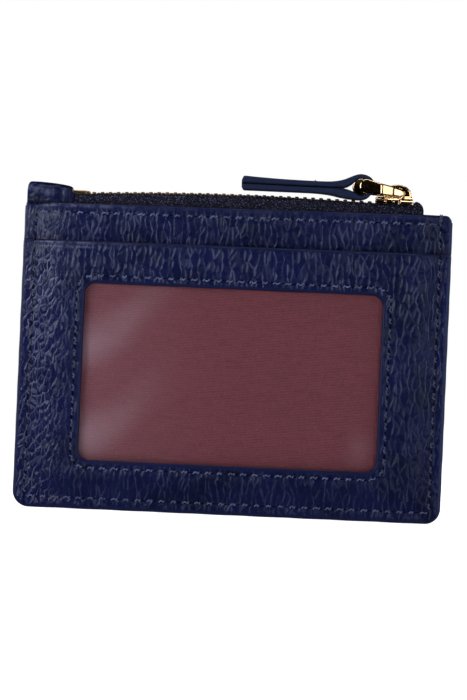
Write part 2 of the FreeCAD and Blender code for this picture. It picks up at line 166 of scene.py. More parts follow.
def tube(path, radii, sides=10, up=(0, 0, 1), squash=1.0, ply=0.0, turns=0.0):
    """Round or flattened tube along a path; ply and turns give it the lay of a twisted thread."""
    path = np.asarray(path, float)
    radii = np.broadcast_to(np.asarray(radii, float), (len(path),))
    tangent = headings(path)
    side = np.cross(tangent, np.asarray(up, float))
    side /= np.linalg.norm(side, axis=1)[:, None] + 1e-12
    normal = np.cross(side, tangent)
    angle = np.linspace(0, 2 * math.pi, sides, endpoint=False)
    along = np.linspace(0, 1, len(path))[:, None]
    swell_ply = 1 + ply * np.cos(2 * (angle[None, :] - 2 * math.pi * turns * along))
    r = radii[:, None] * swell_ply
    points = (path[:, None, :] + side[:, None, :] * (np.cos(angle) * r)[..., None]
              + normal[:, None, :] * (np.sin(angle) * r * squash)[..., None])
    line = np.arange(len(path)) * sides
    faces = np.concatenate([strip_faces(line + k, line + (k + 1) % sides) for k in range(sides)]).tolist()
    faces += [list(range(sides))[::-1], [line[-1] + k for k in range(sides)]]
    return points.reshape(-1, 3), faces


def smooth_curve(keys, count):
    """Catmull-Rom curve through the key points."""
    keys = np.array(keys, float)
    padded = np.vstack([2 * keys[0] - keys[1], keys, 2 * keys[-1] - keys[-2]])
    t = np.linspace(0, len(keys) - 1, count)
    k = np.minimum(t.astype(int), len(keys) - 2)
    f = (t - k)[:, None]
    a, b, c, d = padded[k], padded[k + 1], padded[k + 2], padded[k + 3]
    square, cube = 2 * a - 5 * b + 4 * c - d, 3 * b - 3 * c + d - a
    return 0.5 * (2 * b + (c - a) * f + square * f ** 2 + cube * f ** 3)


# Where the seams down the sides and along the bottom run.
SEAM_X, SEAM_Z = 51.2, 2.6


# ---------------------------------------------------------------- materials

class Value:
    """A number in a node tree; arithmetic on it adds math nodes."""

    def __init__(self, nodes, socket):
        self.nodes, self.socket = nodes, socket

    def __add__(self, other):
        return self.nodes.math("ADD", self, other)

    def __sub__(self, other):
        return self.nodes.math("SUBTRACT", self, other)

    def __rsub__(self, other):
        return self.nodes.math("SUBTRACT", other, self)

    def __mul__(self, other):
        return self.nodes.math("MULTIPLY", self, other)

    def __pow__(self, power):
        return self.nodes.math("POWER", self, power)

    def __abs__(self):
        return self.nodes.math("ABSOLUTE", self)


class Nodes:
    """Small helper for writing a node tree from code."""

    def __init__(self, name):
        self.material = bpy.data.materials.new(name)
        self.material.use_nodes = True
        self.tree = self.material.node_tree
        self.shader = self.tree.nodes["Principled BSDF"]

    def add(self, kind, inputs=None, **settings):
        node = self.tree.nodes.new(kind)
        for key, value in settings.items():
            setattr(node, key, value)
        for key, value in (inputs or {}).items():
            self.put(node.inputs[key], value)
        return node

    def put(self, socket, value):
        value = getattr(value, "socket", value)
        if isinstance(value, bpy.types.NodeSocket):
            self.tree.links.new(value, socket)
        else:
            socket.default_value = value

    def set(self, **inputs):
        for key, value in inputs.items():
            self.put(self.shader.inputs[key.replace("_", " ")], value)

    def math(self, operation, a, b=0.0, clamp=False):
        node = self.add("ShaderNodeMath", {0: a, 1: b}, operation=operation, use_clamp=clamp)
        return Value(self, node.outputs[0])

    def vector(self, operation, *inputs):
        node = self.add("ShaderNodeVectorMath", dict(enumerate(inputs)), operation=operation)
        return node.outputs["Value" if operation == "LENGTH" else "Vector"]

    def axes(self, vector):
        outputs = self.add("ShaderNodeSeparateXYZ", {"Vector": vector}).outputs
        return {axis: Value(self, outputs[axis]) for axis in "XYZ"}

    def ramp(self, value, low, high, out_low=0.0, out_high=1.0):
        node = self.add("ShaderNodeMapRange", {"Value": value, "From Min": low, "From Max": high,
                                              "To Min": out_low, "To Max": out_high},
                        interpolation_type="SMOOTHSTEP")
        return Value(self, node.outputs["Result"])

    def mix(self, factor, a, b):
        return self.add("ShaderNodeMix", {0: factor, 6: a, 7: b}, data_type="RGBA").outputs[2]

    def blend(self, factor, a, b):
        """Number between a and b."""
        return a * (1.0 - factor) + b * factor

    def place(self, scale=(1, 1, 1), rotate=(0, 0, 0)):
        """Row-frame position in millimetres, scaled per axis."""
        coordinates = self.add("ShaderNodeTexCoord").outputs["Object"]
        mapping = self.add("ShaderNodeMapping", {"Vector": coordinates, "Rotation": rotate,
                                                 "Scale": tuple(s / MM for s in scale)})
        return mapping.outputs["Vector"]

    def noise(self, vector, scale=1.0, detail=2.0, roughness=0.5):
        node = self.add("ShaderNodeTexNoise", {"Vector": vector, "Scale": scale, "Detail": detail,
                                               "Roughness": roughness})
        return Value(self, node.outputs["Fac"])

    def voronoi(self, vector, feature="F1", scale=1.0, randomness=1.0):
        node = self.add("ShaderNodeTexVoronoi", {"Vector": vector, "Scale": scale,
                                                 "Randomness": randomness}, feature=feature)
        return Value(self, node.outputs["Distance"])

    def bands(self, direction, inputs):
        node = self.add("ShaderNodeTexWave", {"Vector": self.place(), **inputs}, wave_type="BANDS",
                        bands_direction=direction)
        return Value(self, node.outputs["Fac"])

    def upright(self, vector):
        """1 where the border between two cells runs upwards, 0 where it lies flat."""
        centres = [self.add("ShaderNodeTexVoronoi", {"Vector": vector, "Scale": 1.0},
                            feature=feature).outputs["Position"] for feature in ("F1", "F2")]
        across = self.axes(self.vector("NORMALIZE", self.vector("SUBTRACT", *centres)))["X"]
        return self.ramp(abs(across), 0.25, 0.85)

    def bump(self, height, distance, strength=1.0):
        return self.add("ShaderNodeBump", {"Height": height, "Distance": distance * MM,
                                           "Strength": strength}).outputs["Normal"]

    def attribute(self, name):
        return Value(self, self.add("ShaderNodeAttribute", attribute_name=name).outputs["Fac"])


def rgb(text):
    """Linear colour from a hex string."""
    values = [int(text[i:i + 2], 16) / 255 for i in (0, 2, 4)]
    return tuple(v / 12.92 if v <= 0.04045 else ((v + 0.055) / 1.055) ** 2.4 for v in values) + (1.0,)


def leather(name, cell=(1.5, 30.0, 3.1), grain=1.0, crease_pallor=1.0, sealed="0a1138", worn=1.0):
    """Pebbled navy leather: dark cells in a pale crease network, stretched upwards. The paint attribute
    marks sealed edges, a second attribute painted highlights (pale lines and soft glossy patches), and gap
    the painted shade of folds, gaps and hidden inner faces."""
    n = Nodes(name)
    place = n.place()
    wander = n.add("ShaderNodeTexNoise", {"Vector": place, "Scale": 0.22, "Detail": 2.0}).outputs["Color"]
    shifted = n.vector("MULTIPLY_ADD", wander, (1.7, 0.0, 1.2), place)
    cells = n.vector("DIVIDE", shifted, cell)
    leaning = n.add("ShaderNodeMapping", {"Vector": shifted, "Rotation": (0.0, -0.6, 0.0),
                                          "Scale": (0.8, 0.03, 0.45)}).outputs["Vector"]
    x, _, z = n.axes(place).values()
    # left: where the left side takes a leaning grain (real) and a lighter colour (painted light from that
    # side); worn scales it.
    left = n.ramp(x, -47.0, -38.0, worn, 0.0) * n.ramp(z, 60.0, 70.0, 1.0, 0.4)
    nets = (cells, leaning)
    edges = [n.voronoi(net, "DISTANCE_TO_EDGE") for net in nets]
    fine = n.voronoi(cells, "DISTANCE_TO_EDGE", scale=1.8)
    pore = n.noise(place, 4.0, 3.0, 0.6)
    paint, gap = n.attribute("paint"), n.attribute("gap")
    bare = 1.0 - paint
    strength = n.ramp(n.noise(n.place((1, 1, 0.6)), 0.42, 2.0), 0.36, 0.62, 0.2, 1.0)
    # Painted light: the pale crease lines of the grain grow stronger towards the top, as if lit from above.
    strength = strength * n.ramp(z, 10.0, 60.0, 0.42, 0.88)
    lines = [n.ramp(edge, 0.0, reach, 1.0, 0.0) ** 1.6 * n.upright(net)
             for edge, reach, net in zip(edges, (0.23, 0.2), nets)]
    short = n.ramp(fine, 0.0, 0.16, 0.2, 0.0) * n.ramp(n.noise(place, 0.6, 2.0), 0.4, 0.65) * (1.0 - left)
    crease_lines = n.math("MAXIMUM", n.blend(left, *lines), short) * strength
    crease_lines = crease_lines * n.ramp(pore, 0.3, 0.65, 0.35, 1.0) * bare
    base = n.mix(n.ramp(n.noise(place, 0.09, 3.0), 0.3, 0.7), rgb("020829"), rgb("060d37"))
    # Painted light: on the left side the navy and the crease lines are lighter, as if lit from that side.
    base = n.mix(left * 0.5, base, rgb("10143c"))
    # Painted highlight: soft grey glossy patches on the upper left.
    painted_sheen = n.ramp(x, -49.0, -38.0, 0.13 * worn, 0.0) * n.ramp(z, 40.0, 62.0)
    base = n.mix(painted_sheen * n.ramp(n.noise(place, 0.32, 2.0), 0.4, 0.62), base, rgb("4a4e68"))
    base = n.mix(crease_lines * (0.9 * crease_pallor), base, n.mix(left, rgb("495070"), rgb("7a7c94")))
    # Painted highlight: the sealed edge turns lighter along the right side.
    base = n.mix(paint, base, n.mix(n.ramp(x, 52.9, 53.5), rgb(sealed), rgb("1c2750")))
    patchy = n.ramp(n.noise(n.place((1, 1, 0.4)), 0.7, 3.0), 0.38, 0.62, 0.1, 1.0)
    # Painted highlight: pale blue-grey where the highlight attribute is set, broken up by noise.
    base = n.mix(n.attribute("painted_highlight") * patchy, base, rgb("5a5f7c"))
    # Painted shade: near-black where the gap attribute is set, and in a strip along each side seam below the
    # mouth.
    seam_shade = n.ramp(abs(abs(x) - SEAM_X), 0.0, 0.45, 0.8, 0.0) * n.ramp(z, 78.3, 78.9, 1.0, 0.0)
    base = n.mix(n.math("MAXIMUM", gap, seam_shade), base, rgb("010218"))
    height = n.blend(left, n.ramp(edges[0], 0.0, 0.36), n.ramp(edges[1], 0.0, 0.4, 0.0, 1.2))
    rough = n.ramp(pore + crease_lines * 0.7, 0.3, 1.1, 0.27, 0.55) * (1.0 - left * 0.2)
    rough = n.math("ADD", rough * bare + paint * 0.38, gap * 0.5, clamp=True)
    n.set(Base_Color=base, Roughness=rough, Normal=n.bump((height + pore * 0.16) * bare, 0.2 * grain),
          Specular_IOR_Level=0.21, Specular_Tint=(0.84, 0.89, 1.0, 1.0))
    return n.material


def edge_paint(name):
    """Sealed, slightly wavy painted leather edge."""
    n = Nodes(name)
    place = n.place()
    wave, speck = n.noise(place, 0.9, 3.0), n.noise(place, 6.0, 2.0)
    n.set(Base_Color=n.mix(n.ramp(wave, 0.35, 0.7), rgb("080e2c"), rgb("1a2346")),
          Roughness=n.ramp(speck, 0.3, 0.8, 0.28, 0.42), Normal=n.bump(wave + speck * 0.15, 0.12, 0.5))
    return n.material


def thread_material(name):
    """Navy thread, darkened where the shade attribute says so: a random tone per stitch, and painted shade.
    """
    n = Nodes(name)
    fibre = n.noise(n.place(), 9.0, 2.0)
    base = n.mix(n.ramp(fibre, 0.3, 0.7), rgb("1a2652"), rgb("5a69a4"))
    n.set(Base_Color=n.mix(n.attribute("shade"), base, rgb("0c1230")), Normal=n.bump(fibre, 0.05, 0.8),
          Roughness=n.ramp(fibre, 0.2, 0.8, 0.45, 0.62), Sheen_Weight=0.25)
    return n.material


def film_glare_bands(n):
    """Soft pale bands that climb from the left edge of the window, a painted reflection of the film; 0 where
    the film is clear.
    """
    x, _, z = n.axes(n.place()).values()
    waves = n.noise(n.place((0.03, 0.1, 0.075)), 1.0, 2.0, 0.45)
    bend = z + (waves - 0.5) * 7.0 - n.ramp(x, -38.0, -4.0, 0.0, 24.0)
    glare = n.ramp(x, -38.0, 0.0, 1.0, 0.0) * 0.26
    for middle, reach, end in ((42.0, 9.0, -8.0), (18.5, 8.5, -13.0)):
        along = n.ramp(x, -37.0, end, 1.0, 0.0) + n.ramp(x, -38.0, -30.0, 0.5, 0.0)
        glare = glare + n.ramp(abs(bend - middle), 0.0, reach, 0.8, 0.0) * along
    spot = n.ramp(abs(x - 33.0), 0.0, 5.0, 0.35, 0.0) * n.ramp(abs(z - 18.0), 0.0, 7.0, 1.0, 0.0)
    return n.math("MINIMUM", glare + spot, 1.5), waves


def lining_material(name, with_film_glare=False):
    """Burgundy lining with fine ribs that run across; behind the window it can carry the film's painted
    reflection as pale bands.
    """
    n = Nodes(name)
    ribs = n.bands("Z", {"Scale": 0.78, "Distortion": 0.4, "Detail": 1.0, "Detail Scale": 0.5})
    weft = n.bands("X", {"Scale": 0.9, "Distortion": 1.0, "Detail": 1.0})
    slub = n.noise(n.place((0.25, 1, 1.6)), 0.8, 2.0)
    tone = ribs * 0.26 + slub * 0.26 + n.noise(n.place(), 2.4, 1.0) * 0.3
    base = n.mix(n.ramp(tone, 0.0, 0.82), rgb("48222a"), rgb("6e3e47"))
    # Painted reflection of the film: pale bands on the lining behind the window.
    if with_film_glare:
        base = n.mix(film_glare_bands(n)[0] * 0.12, base, rgb("bcb2c2"))
    n.set(Base_Color=base, Roughness=n.ramp(slub, 0.3, 0.7, 0.6, 0.75), Specular_IOR_Level=0.1,
          Normal=n.bump(ribs + weft * 0.35, 0.01, 0.3))
    return n.material


def film_material(name):
    """Clear flexible film with a slight smoky tint; its reflection is painted on the lining behind it as
    pale bands.
    """
    n = Nodes(name)
    waves = film_glare_bands(n)[1]
    n.set(Base_Color=n.mix(waves, rgb("14080a"), rgb("241216")), Roughness=n.ramp(waves, 0.3, 0.7, 0.4, 0.5),
          Alpha=waves * 0.01 + 0.01, Normal=n.bump(waves, 1.0, 0.3), Specular_IOR_Level=0.0)
    return n.material


def tape_material(name):
    """Knitted zip tape: rows of small leaning loops with paler filaments."""
    n = Nodes(name)
    loops, gaps = [n.voronoi(n.place((1.75, 1.75, 1.9), (0, 0.5, 0)), feature, 1.0, 0.75)
                   for feature in ("F1", "DISTANCE_TO_EDGE")]
    fleck = n.noise(n.place(), 1.3, 2.0, 0.6)
    tone = n.ramp(loops, 0.1, 0.55, 1.0, 0.0) * n.ramp(fleck, 0.34, 0.6)
    base = n.mix(n.ramp(gaps, 0.02, 0.2), rgb("020209"), rgb("11122c"))
    n.set(Base_Color=n.mix(tone, base, rgb("484a68")), Roughness=n.ramp(fleck, 0.3, 0.7, 0.6, 0.8),
          Normal=n.bump(n.ramp(gaps, 0.0, 0.3) - loops, 0.22), Specular_IOR_Level=0.2)
    return n.material


def metal(name, tone, dark, rough, worn=0.3, scratch=0.02):
    """Plated brass with faint tarnish and fine polishing marks."""
    n = Nodes(name)
    tarnish = n.noise(n.place(), 0.8, 4.0, 0.6)
    marks = n.noise(n.place((0.6, 3.0, 14.0)), 1.0, 3.0)
    n.set(Base_Color=n.mix(n.ramp(tarnish, 0.45, 0.8, 0.0, worn), rgb(tone), rgb(dark)), Metallic=1.0,
          Roughness=n.ramp(marks, 0.3, 0.7, rough, rough + 0.08), Normal=n.bump(marks, scratch, 0.3))
    return n.material


def needle_shade_material(name):
    """Near-black painted shade for a needle slot."""
    n = Nodes(name)
    shade = n.noise(n.place(), 4.0, 2.0)
    n.set(Base_Color=n.mix(shade, rgb("000002"), rgb("04050c")), Specular_IOR_Level=0.05,
          Roughness=n.ramp(shade, 0.2, 0.8, 0.7, 0.9))
    return n.material


FRONT_LEATHER = leather("pebbled_leather_front")
BACK_LEATHER = leather("pebbled_leather_back", grain=0.85, crease_pallor=0.8, worn=0.0)
TRIM_LEATHER = leather("pebbled_leather_trim", cell=(1.7, 1.7, 2.0), grain=0.5, crease_pallor=0.12, worn=0.0)
TAB_LEATHER = leather("tab_leather", cell=(1.1, 1.1, 1.1), grain=0.5, worn=0.0, sealed="161f3b")
EDGE = edge_paint("edge_paint")
THREAD = thread_material("navy_thread")
NEEDLE_SHADE = needle_shade_material("needle_hole_shadow")
LINING = lining_material("ribbed_lining")
LINING_WITH_FILM_GLARE = lining_material("ribbed_lining_behind_film", with_film_glare=True)
FILM = film_material("hazy_film")
TAPE = tape_material("woven_tape")
TEETH = metal("antique_brass", "80643c", "140e09", 0.34, 1.0, 0.05)
GOLD = metal("polished_gold", "f7d4a4", "b9854f", 0.07)
STOP_BRASS = metal("dull_brass", "b08a55", "2c2012", 0.25, 0.8, 0.04)


# ---------------------------------------------------------------- case layers

HALF, _, PANEL_TOP = box_mm("front_panel")[1]
SLOT_TOP = box_mm("window_panel")[1][2]
# How much the top edges climb from left to right.
PANEL_CLIMB, SLOT_CLIMB = 1.1, 0.6
# Radius of a rounded corner and of one that looks sharp, and the rounding of an edge.
CORNER, SHARP, EDGE_ROUND = 3.8, 0.5, 0.5
# The layers lie flat as far in as RIM and are fully swollen from SHOULDER on.
RIM, SHOULDER = 2.0, 9.0
# Swell of the panels and of the window pocket, and the flare that makes room for the zip.
RISE, WINDOW_RISE, FLARE = 1.0, 1.75, 2.4
# Thickness of the linings, of the panels and of the card slots.
FABRIC, LEATHER, SLOT_LEATHER = 0.3, 1.1, 0.6
TOP_SEAM_DROP = 2.45
CARD_SLOTS = ("card_slot_high", "card_slot_mid", "card_slot_low")


def top_of(node):
    return float(box_mm(node)[1][2])


def panel_edge(x):
    """Height of the panels' top edge, which climbs a little to the right."""
    return PANEL_TOP - 0.5 + PANEL_CLIMB * (x + HALF) / (2 * HALF)


def slot_edge(x):
    """Height of the window pocket's mouth."""
    return SLOT_TOP - 0.4 + SLOT_CLIMB * (x + HALF) / (2 * HALF)


def level(height):
    """Level top edge, as a function of x."""
    return lambda x: height + 0.0 * x


def inset(x, z):
    """Distance in from the sides and bottom, with a soft corner."""
    a, b = HALF - np.abs(x), z
    blend = np.clip(0.5 + 0.5 * (b - a) / 6.0, 0, 1)
    return b * (1 - blend) + a * blend - 6.0 * blend * (1 - blend) * 0.5


def layer_height(x, z, gap, rise, lift):
    """Outward distance of a layer's inner face: a flat rim, a swell, and a flare by the zip."""
    swell = smooth((inset(x, z) - RIM) / (SHOULDER - RIM))
    side = smooth((HALF - np.abs(x) - RIM) / (SHOULDER - RIM))
    up = smooth((z - 64.0) / 10.5)
    return gap + rise * swell + (lift - rise) * side * up


def outline_distance(x, z, top, corners=(CORNER, CORNER, SHARP, SHARP)):
    """Distance inside a layer's outline; corners are bottom left, bottom right, top left, top right."""
    height = top(x)
    right, upper = x > 0, z > height / 2
    low_left, low_right, high_left, high_right = corners
    radius = np.where(upper, np.where(right, high_right, high_left), np.where(right, low_right, low_left))
    qx = np.abs(x) - HALF + radius
    qz = np.abs(z - height / 2) - height / 2 + radius
    return -(np.hypot(np.maximum(qx, 0), np.maximum(qz, 0)) + np.minimum(np.maximum(qx, qz), 0) - radius)


def seam_dent(x, z, lines, depth):
    """Sunken line where the stitches pull the leather down."""
    dent = np.zeros_like(x)
    for distance in lines:
        dent = np.maximum(dent, depth * bell(distance(x, z), 0, 0.55))
    return dent


def side_seam(x, z):
    """Distance to the seam along the sides and the bottom."""
    side = np.where(z > SEAM_Z, np.abs(np.abs(x) - SEAM_X), 99.0)
    bottom = np.where(np.abs(x) < SEAM_X, np.abs(z - SEAM_Z), 99.0)
    return np.minimum(side, bottom)


def top_seam_height(x):
    """Height of the seam that holds the zip, along the panels' top edge."""
    return panel_edge(x) - TOP_SEAM_DROP


def top_seam(x, z):
    return np.where(np.abs(x) < SEAM_X, np.abs(z - top_seam_height(x)), 99.0)


def undulate(x, z, size=0.06):
    """Slow unevenness of a hand-sewn panel."""
    return size * (np.sin(x * 0.21 + 1.3) * np.cos(z * 0.17 + 0.4) + 0.6 * np.sin(x * 0.47 + z * 0.31))


def edge_profile(distance, radius):
    """0 at the very edge to 1 once the rounding ends."""
    return np.sqrt(np.clip(1 - (1 - np.clip(distance / radius, 0, 1)) ** 2, 0, 1))


def scan_grid(top, step, corners=(CORNER, CORNER, SHARP, SHARP)):
    """Rows from bottom to top whose ends follow the rounded outline."""
    height = float(top(np.zeros(1))[0])
    rows = spaced(0.0, height, step, (0, 0.06, 0.16, 0.3, 0.5, 0.8, 1.2, 1.7, 2.3, 3.0, 3.8)) / height
    columns = spaced(-HALF, HALF, step)
    grid_x, grid_z = [], []
    for share in rows:
        line_x, line_z = columns.copy(), share * top(columns)
        for _ in range(2):
            ends = []
            for sign, low_corner, high_corner in ((-1, corners[0], corners[2]), (1, corners[1], corners[3])):
                z = line_z[0 if sign < 0 else -1]
                roof = float(top(np.array([sign * HALF]))[0])
                near, radius = (z, low_corner) if z < roof / 2 else (roof - z, high_corner)
                away = max(0.0, radius - near)
                cut = radius - math.sqrt(max(0.0, radius ** 2 - away ** 2))
                ends.append(sign * (HALF - cut))
            line_x = np.interp(columns, [-HALF, -HALF + 12, HALF - 12, HALF],
                               [ends[0], -HALF + 12, HALF - 12, ends[1]])
            line_z = share * top(line_x)
        grid_x.append(line_x)
        grid_z.append(line_z)
    return np.array(grid_x), np.array(grid_z)


def shell(name, x, z, inner, outer, side, material, wrap=False, **rest):
    """Closed sheet between two faces given over one grid."""
    faces = [np.stack([x, side * face, z], axis=-1) for face in (outer, inner)]
    return build(name, *sheet(*faces, side > 0, wrap=wrap), material, **rest)


def plain_layer(name, side, top, gap, thickness, lift, material, node, slot, step, seams=(),
                corners=(CORNER, CORNER, SHARP, SHARP), edge=EDGE_ROUND, paint_width=0.5, face=None,
                band=0.0, edge_highlight=0.0):
    """A panel, slot or lining without a window; band is the width of a painted strip along the top, and the
    highlight strength sets a pale line in it, a painted highlight."""
    x, z = scan_grid(top, step, corners)
    near = layer_height(x, z, gap, RISE, lift)
    distance = outline_distance(x, z, top, corners)
    rounded = edge_profile(distance, min(edge, thickness * 0.5))
    if face:
        far = face(x, z)
    else:
        far = near + thickness + undulate(x, z, 0.04) * smooth(distance / 3) - seam_dent(x, z, seams, 0.2)
    middle = near + thickness / 2
    below = top(x) - z
    paint = 1 - smooth((distance - 0.35) / paint_width)
    if band:
        paint = np.maximum(paint, 0.5 * (1 - smooth((below - band + 0.5) / 0.8)))
    # Painted highlight: a pale line under the top edge, strongest on the left.
    painted_highlight = edge_highlight * smooth((x + 51.4) / 0.8) * (0.15 + 0.85 * smooth((-22 - x) / 22)) * bell(below, 0.75, 0.4)
    # Painted shade along the very top edge.
    values = face_values(paint, painted_highlight, 1 - smooth((below - 0.02) / 0.3))
    return shell(name, x, z, middle - thickness / 2 * rounded, middle + (far - middle) * rounded, side,
                 material, nodes=[node], slot=slot, **values)


# ---------------------------------------------------------------- window

WINDOW = dict(left=-38.0, right=37.3, low=12.3, high=57.0, radius=2.8)
WINDOW_BEVEL = 0.75


def rounded_loop(left, right, low, top, radii, long_count, tall_count, corner_count):
    """Closed outline, anticlockwise from the bottom left; top is a function of x."""
    points = []
    counts = (long_count, tall_count, long_count, tall_count)
    high_left, high_right = [float(z) for z in top(np.array([left, right]))]
    corners = [(left, low), (right, low), (right, high_right), (left, high_left)]
    for k in range(4):
        here, after = np.array(corners[k]), np.array(corners[(k + 1) % 4])
        r_here, r_after = radii[k], radii[(k + 1) % 4]
        direction = (after - here) / np.linalg.norm(after - here)
        turn = np.array([-direction[1], direction[0]])
        centre = here + direction * r_here + turn * r_here
        start = math.atan2(-turn[1], -turn[0]) - math.pi / 2
        for a in np.linspace(start, start + math.pi / 2, corner_count, endpoint=False):
            points.append(centre + r_here * np.array([math.cos(a), math.sin(a)]))
        first, last = here + direction * r_here, after - direction * r_after
        for t in np.linspace(0, 1, counts[k], endpoint=False):
            points.append(first + (last - first) * t)
    return np.array(points)


def window_distance(x, z, grow=0.0):
    """Distance outside the window's cut-out, grown by a margin; negative inside it."""
    cx, cz = (WINDOW["left"] + WINDOW["right"]) / 2, (WINDOW["low"] + WINDOW["high"]) / 2
    hx, hz = (WINDOW["right"] - WINDOW["left"]) / 2 + grow, (WINDOW["high"] - WINDOW["low"]) / 2 + grow
    radius = WINDOW["radius"] + 0.6 * grow
    qx, qz = np.abs(x - cx) - hx + radius, np.abs(z - cz) - hz + radius
    return np.hypot(np.maximum(qx, 0), np.maximum(qz, 0)) + np.minimum(np.maximum(qx, qz), 0) - radius


STITCH_GAP = 2.0


def window_seam(x, z):
    return np.abs(window_distance(x, z, STITCH_GAP))


def window_face(x, z):
    """Outer face of the window panel."""
    gap = FABRIC * 2 + LEATHER
    face = layer_height(x, z, gap, WINDOW_RISE, WINDOW_RISE) + LEATHER
    face = face + undulate(x, z, 0.05) * smooth(inset(x, z) / 3)
    face -= seam_dent(x, z, (side_seam, window_seam), 0.22)
    below = slot_edge(x) - z
    face -= 0.14 * bell(below, 1.15, 0.28) * smooth((x + 51) / 2) * smooth((5 - x) / 30)
    return face + 0.12 * bell(below, 0.55, 0.4)


def make_window_panel():
    """Leather front of the identity pocket, gridded from its outline in to its cut-out."""
    radii = (CORNER, CORNER, 0.4, 0.4)
    outer = rounded_loop(-HALF, HALF, 0.0, slot_edge, radii, 190, 120, 14)
    inner = rounded_loop(WINDOW["left"], WINDOW["right"], WINDOW["low"], level(WINDOW["high"]),
                         (WINDOW["radius"],) * 4, 190, 120, 14)
    share = spaced(0.0, 12.0, 0.45, (0, 0.05, 0.13, 0.25, 0.42, 0.65, 1.0)) / 12.0
    rings = outer[None] + (inner - outer)[None] * share[:, None, None]
    x, z = rings[..., 0], rings[..., 1]
    near = layer_height(x, z, FABRIC * 2 + LEATHER, WINDOW_RISE, WINDOW_RISE)
    rim = outline_distance(x, z, slot_edge, (CORNER, CORNER, 0.4, 0.4))
    hole = np.maximum(window_distance(x, z), 0)
    rounded = edge_profile(rim, EDGE_ROUND) * (0.12 + 0.88 * edge_profile(hole, WINDOW_BEVEL))
    middle = near + LEATHER / 2
    far = middle + (window_face(x, z) - middle) * rounded
    back = middle - LEATHER / 2 * edge_profile(rim, EDGE_ROUND)
    below = slot_edge(x) - z
    paint = np.maximum(1 - smooth((rim - 0.35) / 0.5), 1 - smooth((hole - 0.65) / 0.3))
    paint = np.maximum(paint, 0.5 * (1 - smooth((below - 0.6) / 0.6)))
    # Painted shade: dark at the pocket's mouth, around the cut-out, and in a line just below the mouth on
    # the left.
    gap = np.maximum(1 - smooth((below - 0.02) / 0.32), 0.8 * (1 - smooth(hole / 0.22)))
    fade = smooth((x + 50.6) / 1.0) * smooth((-20 - x) / 26)
    gap = np.maximum(gap, 0.8 * fade * bell(below, 1.12, 0.16))
    # Painted highlight: two pale lines under the mouth, fading to the right.
    painted_highlight = fade * (0.85 * bell(below, 0.68, 0.2) + 0.6 * bell(below, 1.6, 0.2))
    shell("window_pocket_panel", x, z, back, far, -1, FRONT_LEATHER, wrap=True, nodes=["window_panel"],
          slot="front_leather", **face_values(paint, painted_highlight, gap))


def make_film():
    """Thin clear sheet, very slightly slack behind the cut-out."""
    low, high = box_mm("window_film")
    x, z = np.meshgrid(np.linspace(low[0], high[0], 84), np.linspace(low[2], high[2], 54))
    slack = 0.1 * np.sin(x * 0.09 + 0.8) * np.sin(z * 0.11 + 0.5)
    outer = -low[1] - 0.12 + slack
    shell("window_film_sheet", x, z, outer - 0.2, outer, -1, FILM, nodes=["window_film"], slot="film")


# ---------------------------------------------------------------- stitches

def line_path(start, end):
    """Straight seam as a function from distance to position."""
    start, end = np.array(start, float), np.array(end, float)
    length = np.linalg.norm(end - start)
    return lambda s: start + (end - start) * (s / length), length


def loop_path(points):
    """Closed seam as a function from distance to position."""
    points = np.vstack([points, points[:1]])
    steps = np.concatenate([[0], np.cumsum(np.linalg.norm(np.diff(points, axis=0), axis=1))])
    return lambda s: np.array([np.interp(s % steps[-1], steps, points[:, k]) for k in (0, 1)]), steps[-1]


# Centre line of a stitch's loop and of its tail: along the seam, across it, and out of the leather.
HOOK = np.array([(-0.52, -0.3, -0.22), (-0.42, -0.12, 0.12), (-0.18, 0.14, 0.22), (0.12, 0.22, 0.2),
                 (0.34, 0.06, 0.06), (0.42, -0.14, -0.22)])
TAIL = np.array([(0.6, -0.26, -0.22), (0.72, -0.08, 0.14), (0.84, 0.14, 0.14), (0.94, 0.3, -0.22)])
STITCH_PITCH = 3.05


